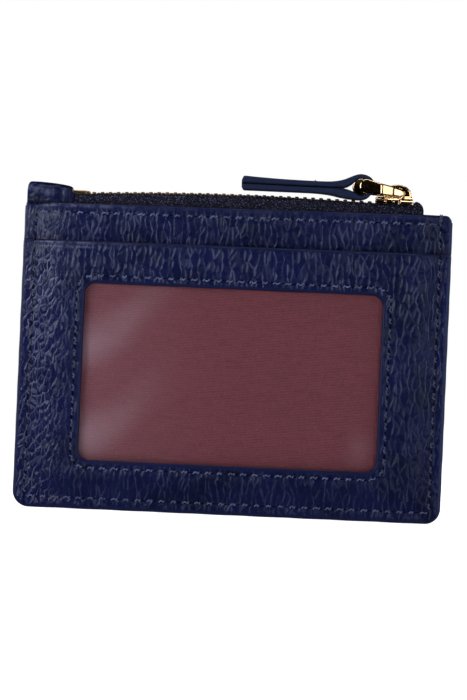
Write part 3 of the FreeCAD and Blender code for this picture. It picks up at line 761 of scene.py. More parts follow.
def seam(name, paths, face, side, pitch=STITCH_PITCH, width=0.17, nodes=(), size=1.0, hole=(0.5, 0.17)):
    """Stitches of two-ply thread: a hooked loop and a short tail, then a near-black disc of painted shade at
    the needle slot.
    """
    threads, shade, shade_discs = [], [], []
    sides = 10
    spin = np.linspace(0, 2 * math.pi, sides, endpoint=False)
    for path, length in paths:
        count = max(1, int(round(length / pitch)))
        actual = length / count
        for k in range(count):
            middle = (k + 0.5) * actual
            ahead = path(middle + 0.2) - path(middle - 0.2)
            ahead = ahead / np.linalg.norm(ahead)
            across = np.array([-ahead[1], ahead[0]])
            climb = abs(float(ahead[1]))

            def spot(along, aside):
                return path(middle + along) + np.multiply.outer(aside, across)

            lean, dull = 0.7 + 0.5 * rng.random(2), 0.6 * rng.random()
            for keys, steps in ((HOOK, 12), (TAIL, 7)):
                curve = smooth_curve([(a * size * lean[0], b * size * lean[1], c) for a, b, c in keys],
                                     steps)
                flat = np.array([spot(a, b) for a, b, c in curve])
                out = face(flat[:, 0], flat[:, 1]) + curve[:, 2]
                line = np.stack([flat[:, 0], side * out, flat[:, 1]], axis=1)
                threads.append(tube(line, np.full(steps, width), 8, (0, 1, 0), 0.85, 0.12, 2.5))
                # Painted shade on stitches that run up and down; stitches along the bottom seam are darker;
                # dull is a random tone per stitch.
                tone = max(dull, 0.7 * climb, 0.35 * float(path(middle)[1] < 10))
                shade += [tone] * len(threads[-1][0])
            wide = hole[1] * (1 + 0.9 * climb)
            pits = ((1.58 * actual / STITCH_PITCH, 0.0, hole[0] * (0.85 + 0.3 * rng.random()), wide),
                    (-0.05, -0.17, 0.3 * size, 0.13))
            for along, aside, long_half, tall_half in pits:
                centre = spot(min(along, length - middle - 0.1), aside)
                depth = face(centre[0:1], centre[1:2])[0] + 0.06
                ring = (centre + long_half * np.outer(np.cos(spin), ahead)
                        + tall_half * np.outer(np.sin(spin), across))
                rim = centre + 0.8 * (ring - centre)
                points = [np.column_stack([loop[:, 0], np.full(sides, side * y), loop[:, 1]])
                          for loop, y in ((ring, depth - 0.12), (rim, depth))]
                walls = [[i, (i + 1) % sides, sides + (i + 1) % sides, sides + i] for i in range(sides)]
                ends = [list(range(sides, 2 * sides)), list(range(sides))[::-1]]
                shade_discs.append((np.vstack(points), walls + ends))
    build_parts(name + "_stitches", threads, THREAD, "case", nodes, "thread", shade=shade)
    # Painted shade: each needle slot is a near-black disc.
    build_parts(name + "_needle_hole_shade", shade_discs, NEEDLE_SHADE, slot="thread")


def back_panel_face(x, z):
    """Outer face of the back panel."""
    face = layer_height(x, z, FABRIC, RISE, FLARE) + LEATHER
    dent = seam_dent(x, z, (side_seam, top_seam), 0.2)
    return face + undulate(x, z, 0.04) * smooth(inset(x, z) / 3) - dent


def front_panel_face(x, z):
    """Outer face of the front panel, with its turned edge above the zip seam."""
    ridge = 0.16 + 0.2 * smooth((-25 - x) / 20)
    turned = bell(panel_edge(x) - 0.9 - z, 0, 0.65)
    return back_panel_face(x, z) + ridge * turned * smooth((x + 51.6) / 1.2)


def back_face(x, z):
    """Outermost face at the back: the back panel and the card slots that cover it at this height."""
    layers = sum((np.asarray(z) < top_of(node)).astype(float) for node in CARD_SLOTS)
    face = layer_height(x, z, FABRIC + LEATHER, RISE, FLARE) + SLOT_LEATHER * layers
    return face + undulate(x, z, 0.03) * smooth(inset(x, z) / 3) - seam_dent(x, z, (side_seam,), 0.2)


def make_seams():
    """Every seam of the case, and the knot where the right side seam ends."""
    mouth = float(slot_edge(SEAM_X))
    loop = rounded_loop(WINDOW["left"] - STITCH_GAP, WINDOW["right"] + STITCH_GAP,
                        WINDOW["low"] - STITCH_GAP, level(WINDOW["high"] + STITCH_GAP),
                        (WINDOW["radius"] + 1.2,) * 4, 20, 12, 6)
    seam("window_seam", [loop_path(loop)], window_face, -1, 2.95, nodes=["window_seam_thread"])
    ends = [(-SEAM_X + 0.2, float(top_seam_height(-SEAM_X))), (SEAM_X - 0.8, float(top_seam_height(SEAM_X)))]
    seam("top_seam_front", [line_path(*ends)], front_panel_face, -1, nodes=["top_seam_thread_front"])
    seam("top_seam_back", [line_path(*ends)], back_panel_face, 1, nodes=["top_seam_thread_back"])
    sides = [line_path((x, SEAM_Z), (x, mouth - 0.6)) for x in (-SEAM_X, SEAM_X)]
    along_bottom = line_path((-SEAM_X, SEAM_Z), (SEAM_X, SEAM_Z))
    seam("perimeter_seam_front", [along_bottom], window_face, -1, nodes=["perimeter_seam_thread_front"])
    seam("side_seams_low", sides, window_face, -1)
    upper = [line_path((x, mouth + 0.5), (x, float(panel_edge(x)) - 0.7)) for x in (-SEAM_X, SEAM_X)]
    seam("side_seams_high", upper, front_panel_face, -1)
    knots = []
    for x in (SEAM_X - 0.25, SEAM_X + 0.2):
        roof = float(panel_edge(x))
        keys = [(x - 0.1, roof - 1.7, 0.1), (x, roof - 0.6, 0.12), (x + 0.05, roof + 0.02, 0.0),
                (x, roof + 0.1, -0.6), (x, roof, -1.2)]
        face = float(front_panel_face(np.array([x]), np.array([roof - 1.0]))[0])
        line = smooth_curve([(px, -(face + lift), pz) for px, pz, lift in keys], 24)
        knots.append(tube(line, 0.16, 8, (1, 0, 0), 0.85, 0.12, 3.0))
    # Painted shade: the knot is darkened like the upright stitches.
    build_parts("side_seam_knot", knots, THREAD, slot="thread", shade=0.7)
    heights = [SEAM_Z] + [top_of(node) for node in CARD_SLOTS[::-1]] + [float(panel_edge(0.0))]
    back = [along_bottom]
    for start, stop in zip(heights[:-1], heights[1:]):
        back += [line_path((x, start + 0.4), (x, stop - 0.6)) for x in (-SEAM_X, SEAM_X)]
    seam("perimeter_seam_back", back, back_face, 1, nodes=["perimeter_seam_thread_back"])


def make_edge_coat():
    """Painted edge that seals the stacked layers down both sides and along the bottom."""
    arc = np.linspace(0, math.pi / 2, 14)[1:]
    left_top, right_top = float(panel_edge(-HALF)) - 1.0, float(panel_edge(HALF)) - 1.8
    inner_x = HALF - CORNER
    line = [(-HALF, z) for z in np.linspace(left_top, CORNER, 150)]
    line += [(-HALF + CORNER - CORNER * math.cos(a), CORNER - CORNER * math.sin(a)) for a in arc]
    line += [(x, 0.0) for x in np.linspace(-HALF + CORNER, inner_x, 160)[1:]]
    line += [(inner_x + CORNER * math.sin(a), CORNER - CORNER * math.cos(a)) for a in arc]
    line += [(HALF, z) for z in np.linspace(CORNER, right_top, 150)[1:]]
    line = np.array(line)
    ahead = headings(line)
    outward = np.stack([ahead[:, 1], -ahead[:, 0]], axis=1)
    z = line[:, 1]
    stack, bare = 1.4, 0.32
    front = stack + stack * smooth((slot_edge(line[:, 0]) - 0.1 - z) / 0.5) - bare
    back = np.full(len(line), stack - bare)
    for node in CARD_SLOTS:
        back += SLOT_LEATHER * smooth((top_of(node) - 0.1 - z) / 0.5)
    share = np.linspace(-1, 1, 13)
    middle, half = (back - front) / 2, (back + front) / 2
    across = middle[:, None] + half[:, None] * share[None, :]
    ripple = 0.05 * np.sin(np.arange(len(line)) * 0.35)[:, None]
    swell = 0.02 + 0.2 * np.sqrt(np.clip(1 - share ** 4, 0, 1))[None, :] + ripple * (1 - share ** 2)
    outer, inner = [np.stack([line[:, :1] + outward[:, :1] * reach, across * width,
                              line[:, 1:] + outward[:, 1:] * reach], -1)
                    for reach, width in ((swell, 1.0), (np.full_like(across, -0.9), 0.9))]
    build("edge_coat", *sheet(outer, inner, False), EDGE, slot="front_leather")


def sewn_lining(node, side, under, *layer):
    """Lining sheet, built as a thin plain layer; the real one is sewn in all round."""
    top = level(top_of(node))
    lining = plain_layer(node + "_cloth", side, top, *layer, edge=0.1)
    float(top(0.0)) * MM


def make_panels():
    """Linings, front and back panels and card slots."""
    flare = -box_mm("pocket_lining_front")[0][1] - FABRIC
    for side, name in ((-1, "front"), (1, "back")):
        node = "pocket_lining_" + name
        sewn_lining(node, side, name + "_panel", 0.02, FABRIC - 0.04, flare, LINING, node, "lining", 1.6)
    for side, name, paint, face in ((-1, "front", FRONT_LEATHER, front_panel_face),
                                    (1, "back", BACK_LEATHER, back_panel_face)):
        plain_layer(name + "_panel_leather", side, panel_edge, FABRIC, LEATHER, FLARE, paint,
                    name + "_panel", name + "_leather", 0.6, corners=(CORNER, CORNER, 0.6, 1.8), edge=0.42,
                    face=face, band=1.7, edge_highlight=0.6)
    node = "id_pocket_lining"
    sewn_lining(node, -1, "front_panel", FABRIC + LEATHER + 0.03, FABRIC - 0.04, FLARE, LINING_WITH_FILM_GLARE, node,
                "lining", 1.0)
    for number, node in enumerate(CARD_SLOTS):
        plain_layer(node + "_leather", 1, level(top_of(node)), FABRIC + LEATHER + number * SLOT_LEATHER,
                    SLOT_LEATHER, FLARE, BACK_LEATHER, node, "back_leather", 0.7, (side_seam,),
                    edge=0.3, paint_width=0.4)


make_panels()
make_window_panel()
make_film()
make_seams()
make_edge_coat()


# ---------------------------------------------------------------- zip

def loft(rings):
    """Closed skin over rings of the same length, with an end cap at each end."""
    rings = np.asarray(rings, float)
    rows, cols = rings.shape[:2]
    number = np.arange(rows * cols).reshape(rows, cols)
    faces = grid_faces(rows, cols).tolist() + strip_faces(number[:, -1], number[:, 0], True).tolist()
    return rings.reshape(-1, 3), faces + [list(range(cols))[::-1], number[-1].tolist()]


def mirrored_loft(rings, side):
    """Loft whose faces point outwards on either side of the zip."""
    return loft(rings if side > 0 else rings[::-1])


def squarish_ring(base, crest, half):
    """Section like a rounded square from one (x, z) point to another, with its half width in Y."""
    turn = np.linspace(0, 2 * math.pi, 28, endpoint=False)
    c, s = [np.copysign(np.abs(v) ** power, v) for v, power in ((np.cos(turn), 0.3), (np.sin(turn), 0.5))]
    base, crest = np.array(base), np.array(crest)
    x, z = ((crest + base) / 2)[:, None] + ((crest - base) / 2)[:, None] * s
    return np.column_stack([x, half * c, z])


def rounded_box(low, high, radius):
    """Box with rounded edges and corners, as points and faces."""
    low, high = np.array(low, float), np.array(high, float)
    centre, half = (low + high) / 2, (high - low) / 2
    radius = min(radius, half.min() * 0.999)
    reach = np.tan(np.linspace(0, math.pi / 4, 5))
    points, faces, start = [], [], 0
    for axis in range(3):
        i, j = (axis + 1) % 3, (axis + 2) % 3
        lines = [np.concatenate([radius - half[k] - radius * reach[::-1], half[k] - radius + radius * reach])
                 for k in (i, j)]
        across, along = np.meshgrid(*lines, indexing="ij")
        for sign in (-1, 1):
            p = np.zeros(across.shape + (3,))
            p[..., axis], p[..., i], p[..., j] = sign * half[axis], across, along
            core = np.clip(p, radius - half, half - radius)
            away = p - core
            away /= np.linalg.norm(away, axis=-1)[..., None] + 1e-12
            points.append((core + away * radius + centre).reshape(-1, 3))
            faces += grid_faces(*across.shape, start, sign > 0).tolist()
            start += across.size
    return np.concatenate(points), faces


def bow(x):
    """How far the zip's crest rises or sinks along its length."""
    return np.interp(x, [-46, -37.5, -30, -20, -8, 4, 14, 24, 34, 47],
                     [-0.85, -0.75, -0.4, 0.02, 0.3, 0.42, 0.4, 0.26, 0.02, 0.0])


TAPE_RIGHT, _, TAPE_TOP = box_mm("zip_tape_front")[1]
TOOTH_PITCH = 2.05
TOOTH_COUNT = 40
TOOTH_LOW, TOOTH_HIGH = box_mm("zip_teeth_front")[0][2], box_mm("zip_teeth_front")[1][2]


def make_tape(side, name):
    """Half of the tape: it rises from the seam, turns inward over a corded edge and meets the teeth."""
    x = spaced(-TAPE_RIGHT, TAPE_RIGHT, 0.55)
    profile = np.array([(2.46, 71.0), (2.46, 73.0), (2.47, 75.0), (2.5, 76.5), (2.52, 77.5), (2.52, 78.2),
                        (2.5, 78.8), (2.44, 79.3), (2.36, 79.7), (2.22, 80.0), (2.02, 80.18), (1.8, 80.2),
                        (1.55, 80.12), (1.3, 80.0)])
    ahead = headings(profile)
    normal = np.stack([ahead[:, 1], -ahead[:, 0]], axis=1)
    grid_x, row = np.meshgrid(x, np.arange(len(profile)), indexing="xy")
    share = smooth((profile[row, 1] - 77.0) / 3.2)
    wobble = 0.05 * np.sin(grid_x * 1.7 + profile[row, 1] * 2.1) + 0.04 * np.sin(grid_x * 3.9)
    end = smooth((TAPE_RIGHT - grid_x) / 1.6) ** 0.5
    drop = (1 - end) * np.maximum(profile[row, 1] - 78.2, 0) * 0.9
    thick = 0.21 + 0.03 * np.sin(grid_x * 3.1)
    across = profile[row, 0] + wobble * 0.4
    up = profile[row, 1] + bow(grid_x) * share - drop + wobble * 0.5 * share
    outer, inner = [np.stack([grid_x, side * (across + normal[row, 0] * reach),
                              up + normal[row, 1] * reach], -1) for reach in (thick, -thick)]
    build_parts("zip_tape_%s_weave" % name, [sheet(outer, inner, side > 0), tape_end(side)], TAPE,
                nodes=["zip_tape_" + name], slot="tape")


def tape_end(side):
    """Raw end of the tape turned under and sewn down past the last tooth."""
    outline = np.array([(44.05, 80.3), (44.15, 80.95), (44.5, 81.22), (44.95, 81.2), (45.5, 80.92),
                        (46.05, 80.45), (46.45, 79.8), (46.62, 79.0), (46.62, 78.0), (46.6, 76.9),
                        (45.4, 76.9), (44.05, 77.0)])
    centre = outline.mean(axis=0)
    rings = []
    for depth, size in ((1.98, 0.78), (2.02, 0.92), (2.15, 0.99), (2.4, 1.0), (2.62, 0.98), (2.74, 0.9),
                        (2.78, 0.72)):
        ring = centre + (outline - centre) * size
        rings.append(np.column_stack([ring[:, 0], np.full(len(ring), side * depth), ring[:, 1]]))
    return mirrored_loft(rings, side)


def make_teeth(side, name):
    """Row of cast teeth: a clamp over the cord, a neck and a rounded head."""
    node = "zip_teeth_" + name
    first = box_mm("zip_teeth_front")[0][0] + 0.65 + (0 if side < 0 else TOOTH_PITCH / 2)
    sections = [(1.97, 0.50, 0.22, 0.12, -0.30), (1.93, 0.60, 0.30, 0.02, -0.12),
                (1.75, 0.64, 0.34, 0.0, -0.04), (1.35, 0.62, 0.4, 0.0, 0.0), (1.0, 0.52, 0.38, 0.03, 0.02),
                (0.7, 0.47, 0.34, 0.06, 0.03), (0.45, 0.42, 0.22, 0.15, -0.02), (0.3, 0.3, 0.14, 0.3, -0.2)]
    parts = []
    for k in range(TOOTH_COUNT if side < 0 else TOOTH_COUNT - 1):
        x = first + k * TOOTH_PITCH
        sunk = (0.1 + 0.2 * float(smooth((x - 5) / 15))) if side > 0 else 0.0
        lean = 0.03 * rng.standard_normal()
        rings = []
        for y, base, crest, lift, top in sections:
            low = TOOTH_LOW + lift
            high = TOOTH_HIGH + top - sunk
            third = (high - low) / 3
            ring = [(-base, low + 0.12), (-base * 0.85, low), (base * 0.85, low), (base, low + 0.12),
                    (base * 1.02, low + third), (base * 0.96, high - third), (crest * 1.2, high - 0.1),
                    (crest * 0.8, high), (-crest * 0.8, high), (-crest * 1.2, high - 0.1),
                    (-base * 0.96, high - third), (-base * 1.02, low + third)]
            rings.append([(x + px + lean, side * y, pz + bow(x)) for px, pz in ring])
        parts.append(mirrored_loft(rings, -side))
    cord_x = np.linspace(first - 0.6, first + 39.6 * TOOTH_PITCH, 240)
    cord = np.column_stack([cord_x, np.full(240, side * 1.82), TAPE_TOP - 0.3 + bow(cord_x)])
    parts.append(tube(cord, 0.2, 8, (0, 1, 0)))
    build_parts(node + "_cast", parts, TEETH, nodes=[node], slot="teeth_brass")


def make_stops():
    """Bottom stop clamped across both tapes, and a small stop at the top of each row."""
    low, high = box_mm("zip_bottom_stop")
    low[2], high[2] = low[2] - 0.1, high[2] - 0.02
    parts = [rounded_box((low[0], low[1] - 0.05, low[2]), (high[0], high[1] + 0.05, high[2]), 0.42),
             rounded_box((low[0] + 0.3, low[1] - 0.12, low[2] - 0.1),
                         (high[0] - 0.9, high[1] + 0.12, high[2] + 0.05), 0.3)]
    build_parts("zip_bottom_stop_cast", parts, STOP_BRASS, nodes=["zip_bottom_stop"], slot="polished_brass")
    low, high = box_mm("zip_top_stops")
    parts = []
    for near, far in ((-1.92, -0.25), (0.25, 1.92)):
        parts.append(rounded_box((low[0] - 0.1, near, low[2]), (high[0] + 0.1, far, high[2] - 0.05), 0.3))
        parts.append(rounded_box((low[0] + 0.05, near + 0.3, high[2] - 0.4),
                                 (high[0] - 0.05, far - 0.3, high[2] + 0.08), 0.2))
    build_parts("zip_top_stops_cast", parts, GOLD, nodes=["zip_top_stops"], slot="polished_brass")


CAP_LOW, CAP_HIGH = box_mm("zip_end_cap")


def cap_top(x):
    """Crest of the end cap, highest at the left."""
    return np.interp(x, [-53.8, -53.65, -53.3, -52.8, -50.5, -48.0, -46.5, -45.0, -43.4, -42.6, -42.25,
                         -42.1],
                     [81.0, 81.6, 82.05, 82.22, 82.2, 82.05, 81.93, 81.75, 81.5, 81.25, 80.95, 80.5])


def make_end_cap():
    """Strip of leather folded over the end of the tape."""
    x = spaced(CAP_LOW[0], CAP_HIGH[0] - 0.1, 0.3, (0, 0.04, 0.12, 0.24, 0.4, 0.6))
    turn = np.linspace(-1, 1, 61)
    grid_t, grid_x = np.meshgrid(turn, x, indexing="ij")
    crest = cap_top(grid_x)
    end = np.minimum(grid_x - CAP_LOW[0], CAP_HIGH[0] - 0.1 - grid_x)
    rounded = edge_profile(end, 0.55)
    shoulder, bottom, bend = 2.0, CAP_LOW[2] - 0.75, 0.58
    away = np.abs(grid_t)
    fall = np.clip((away - bend) / 0.42, 0, 1)
    quarter = away / bend * math.pi / 2
    z = np.where(away < bend, crest - shoulder + shoulder * np.cos(quarter),
                 crest - shoulder - (crest - shoulder - bottom) * fall)
    width = np.interp(grid_x, [-54, -52, -50, -48, -46, -42], [2.2, 2.7, 3.05, 3.3, 3.5, 3.5])
    width = width - 0.25 * smooth(fall * 1.4) + 0.08 * np.sin(grid_x * 1.1) * (1 - fall)
    y = np.where(away < bend, np.sin(quarter) ** 0.8, 1.0) * width
    y = y - 0.3 * bell(grid_x, -45.1, 0.3) * (away > 0.4)
    y = y + 0.14 * bell(grid_x, -44.3, 0.4) * (away > 0.4)
    y = y - 0.2 * bell(grid_x, -43.2, 0.18)
    y = y + 0.07 * np.sin(grid_x * 1.7 + 2.2 * fall) * smooth(fall * 2) - 0.06
    # fold marks the pit and creases: it dents the leather and also sets painted shade there.
    fold = np.clip(1.5 * np.exp(-((grid_x + 50.9) / 0.85) ** 2 - ((z - 78.6) / 0.34) ** 2), 0, 1)
    fold = np.maximum(fold, bell(z, 77.95, 0.2) * (grid_x < -51.8))
    fold = np.maximum(fold, 0.9 * bell(grid_x, -43.2, 0.16))
    fold = np.maximum(fold, 0.7 * bell(grid_x, -45.1, 0.2) * smooth((81.6 - z) / 2))
    y = y - 0.12 * np.where(grid_x < -49, fold, 0)
    # Painted highlight: soft glossy patches on the cap, passed on as its highlight values.
    painted_sheen = sum(share * np.exp(-((grid_x - px) / wide) ** 2 - ((z - pz) / tall) ** 2)
                for px, pz, wide, tall, share in
                ((-52.9, 80.9, 0.4, 0.7, 0.5), (-51.6, 79.9, 0.5, 0.6, 0.35), (-50.3, 80.5, 0.5, 0.7, 0.25),
                 (-48.4, 79.5, 1.2, 0.9, 0.5), (-44.4, 79.3, 0.35, 1.0, 0.45)))
    sign = np.where(grid_t < 0, -1.0, 1.0)
    thick = 0.78
    gy, gz = np.gradient(y * sign, axis=0), np.gradient(z, axis=0)
    norm = np.hypot(gy, gz) + 1e-9
    ny, nz = -gz / norm, gy / norm
    outward = np.sign(ny * sign * y + nz * (z - (crest - 3)))
    ny, nz = ny * outward, nz * outward
    mid_y, mid_z = sign * y - ny * thick / 2, z - nz * thick / 2
    outer, inner = [np.stack([grid_x, mid_y + ny * reach * rounded, mid_z + nz * reach * rounded], -1)
                    for reach in (thick / 2, -thick / 2)]
    paint = np.maximum(1 - smooth((end - 0.2) / 0.4), 1 - smooth((z - bottom - 0.1) / 0.35))
    # Painted shade in the folds and along the bottom, where the cap meets the panel.
    gap = np.maximum(fold, 0.9 * (1 - smooth((z - bottom - 0.45) / 0.45)))
    build("zip_end_cap_leather", *sheet(outer, inner, True, rim=True), TRIM_LEATHER, nodes=["zip_end_cap"],
          slot="trim_leather", **face_values(paint, painted_sheen, gap))
    out = 3.14
    for side, name, nodes in ((-1, "front", ["end_cap_thread"]), (1, "back", [])):
        seam("zip_end_cap_seam_" + name, [line_path((-44.3, 77.9), (-44.3, 81.0))],
             lambda px, pz: np.full_like(px, out), side, 1.6, 0.12, nodes, size=0.7, hole=(0.22, 0.12))


# ---------------------------------------------------------------- slider and pull

SLIDER_LOW, SLIDER_HIGH = box_mm("slider_body")


def slider_half(x):
    """Half width of the slider: shoulders that slant inwards, a waist and a wide mouth."""
    return np.interp(x, [34.4, 34.8, 36.3, 36.6, 37.7, 38.0, 38.5, 38.7, 39.5, 40.4, 40.7, 43.5, 43.9],
                     [2.75, 3.0, 3.1, 3.1, 2.5, 2.5, 3.05, 3.05, 2.6, 2.6, 3.1, 3.1, 2.9])


def make_slider():
    """Top plate, a flange down each side in two lengths, a bottom plate and the post between them."""
    left, right = SLIDER_LOW[0] + 0.05, SLIDER_HIGH[0]
    stations = spaced(left, right, 0.18, (0, 0.03, 0.1, 0.22))
    top, under, low = SLIDER_HIGH[2] + 0.04, SLIDER_HIGH[2] - 0.68, 80.55
    rings = []
    for x in stations:
        rounded = edge_profile(min(x - left, right - x), 0.45)
        half = slider_half(x) * (0.93 + 0.07 * rounded)
        crest = top - 0.42 * smooth((x - 39.6) / 3.8) - 0.3 * (1 - rounded)
        base = under + 0.3 * (1 - rounded)
        rings.append(squarish_ring((x, base), (x, crest), half))
    parts = [loft(rings)]
    inner = 2.79
    for side in (-1, 1):
        rings = []
        for x in stations[stations < 40.3]:
            out = max(2.9, slider_half(x) - 0.02)
            ring = [(inner, low + 0.1), (2.85, low), (out - 0.08, low), (out, low + 0.1), (out, 81.7),
                    (inner, 81.7)]
            rings.append([(x, side * y, z) for y, z in ring])
        parts.append(mirrored_loft(rings, side))
        rings = []
        for x in spaced(40.55, right - 0.02, 0.6, (0, 0.04, 0.12)):
            end = edge_profile(min(x - 40.55, right - 0.02 - x), 0.15) * 0.1
            ring = [(inner, low + 0.1 - end), (3.2 + end, low + 0.1 - end), (3.24 + end, low + 0.14),
                    (2.82 + end, 81.48), (inner, 81.5)]
            rings.append([(x, side * y, z) for y, z in ring])
        parts.append(mirrored_loft(rings, side))
    parts.append(rounded_box((left, -2.0, SLIDER_LOW[2]), (right, 2.0, SLIDER_LOW[2] + 0.5), 0.2))
    parts.append(rounded_box((41.6, -0.18, SLIDER_LOW[2] + 0.3), (43.4, 0.18, 81.75), 0.1))
    build_parts("slider_body_cast", parts, GOLD, "slider", ["slider_body"], "polished_brass")


def make_crown():
    """Arched bail that holds the link to the slider."""
    outer = smooth_curve([(36.5, 81.9), (36.48, 82.9), (36.8, 84.0), (37.8, 84.98), (39.2, 85.34),
                          (40.5, 85.38), (41.8, 85.05), (42.85, 84.35), (43.4, 83.4), (43.58, 82.6),
                          (43.6, 81.9)], 54)
    inner = smooth_curve([(37.6, 81.9), (37.62, 82.7), (37.8, 83.4), (38.4, 84.0), (39.3, 84.26),
                          (40.5, 84.32), (41.15, 84.06), (41.46, 83.6), (41.53, 83.15), (41.4, 82.65),
                          (41.15, 82.25), (40.8, 81.9)], 54)
    rings = [squarish_ring(near, far, 1.2) for near, far in zip(inner, outer)]
    foot, left, right = [], 41.45, 43.75
    for x in spaced(left, right, 0.5, (0, 0.05, 0.14, 0.28)):
        end = edge_profile(min(x - left, right - x), 0.28)
        wide, crest = 1.55 + 0.3 * end, 82.25 + 0.25 * end
        ring = [(-wide, 81.5), (wide, 81.5), (wide, 81.65), (wide - 0.62, crest - 0.04),
                (wide - 0.75, crest), (0.75 - wide, crest), (0.62 - wide, crest - 0.04), (-wide, 81.65)]
        foot.append([(x, y, z) for y, z in ring])
    parts = [loft(rings), loft(foot), rounded_box((36.3, -1.25, 81.8), (37.7, 1.25, 82.45), 0.25)]
    build_parts("slider_crown_cast", parts, GOLD, "slider", ["slider_crown"], "polished_brass")


# Where the barrel and the bar under the crown lie, as (x, z).
BAR = (30.5, 84.35)
PIVOT = (40.5, 83.2)


def make_link():
    """Flat-sided ring: two arms, a barrel at the wide end and a thin bar under the crown."""
    left, right = 30.1, 41.5
    x = left + (right - left) * (1 - np.cos(np.linspace(0, math.pi, 90))) / 2
    stations = [left, 30.3, 30.7, 31.3, 32.0, 34.0, 36.0, 38.7, 40.6, 41.1, 41.4, right]
    high = np.interp(x, stations, [84.5, 85.35, 85.95, 86.3, 86.4, 85.85, 85.3, 84.85, 84.25, 84.0, 83.6,
                                   83.25])
    low = np.interp(x, stations, [84.4, 83.7, 83.15, 82.85, 82.72, 82.62, 82.5, 82.35, 82.2, 82.4, 82.85,
                                  83.2])
    kernel = np.array([1, 2, 3, 2, 1]) / 9
    high[2:-2], low[2:-2] = np.convolve(high, kernel, "valid"), np.convolve(low, kernel, "valid")
    rows = spaced(0.0, 3.2, 0.3, (0, 0.03, 0.08, 0.15, 0.25, 0.4)) / 3.2
    grid_v, grid_x = np.meshgrid(rows, x, indexing="ij")
    z = low + (high - low) * grid_v
    distance = np.minimum.reduce([z - low, high - z, (grid_x - left) * 0.9 + 0.02,
                                  (right - grid_x) * 0.9 + 0.02])
    rounded = edge_profile(np.maximum(distance, 0), 0.45)
    plan = sum(np.interp(grid_x + shift, [30.0, 35.8, 38.65, 41.6], [4.4, 4.38, 2.7, 2.12])
               for shift in np.linspace(-0.5, 0.5, 9)) / 9
    thick = np.interp(grid_x, [30.0, 36.0, 38.8, 41.6], [0.8, 0.85, 0.98, 0.55])
    middle = plan - thick / 2
    parts = []
    for side in (-1, 1):
        faces = [np.stack([grid_x, side * (middle + reach * rounded), z], -1)
                 for reach in (thick / 2, -thick / 2)]
        parts.append(sheet(*faces, side > 0))
    barrel = [(-3.64, 0.5), (-3.63, 1.85), (-3.6, 1.94), (-3.54, 1.97), (-3.12, 1.97), (-3.06, 1.84),
              (-3.0, 1.97), (0.0, 1.97)]
    barrel += [(-y, r) for y, r in barrel[-2::-1]]
    line = [(BAR[0], y, BAR[1]) for y, _ in barrel]
    parts.append(tube(line, [r for _, r in barrel], 40, (0, 0, 1)))
    pivot = [(PIVOT[0], y, PIVOT[1]) for y in np.linspace(-2.0, 2.0, 12)]
    parts.append(tube(pivot, 0.95, 24, (0, 0, 1)))
    build_parts("pull_link_cast", parts, GOLD, "pull_link", ["pull_link"], "polished_brass")


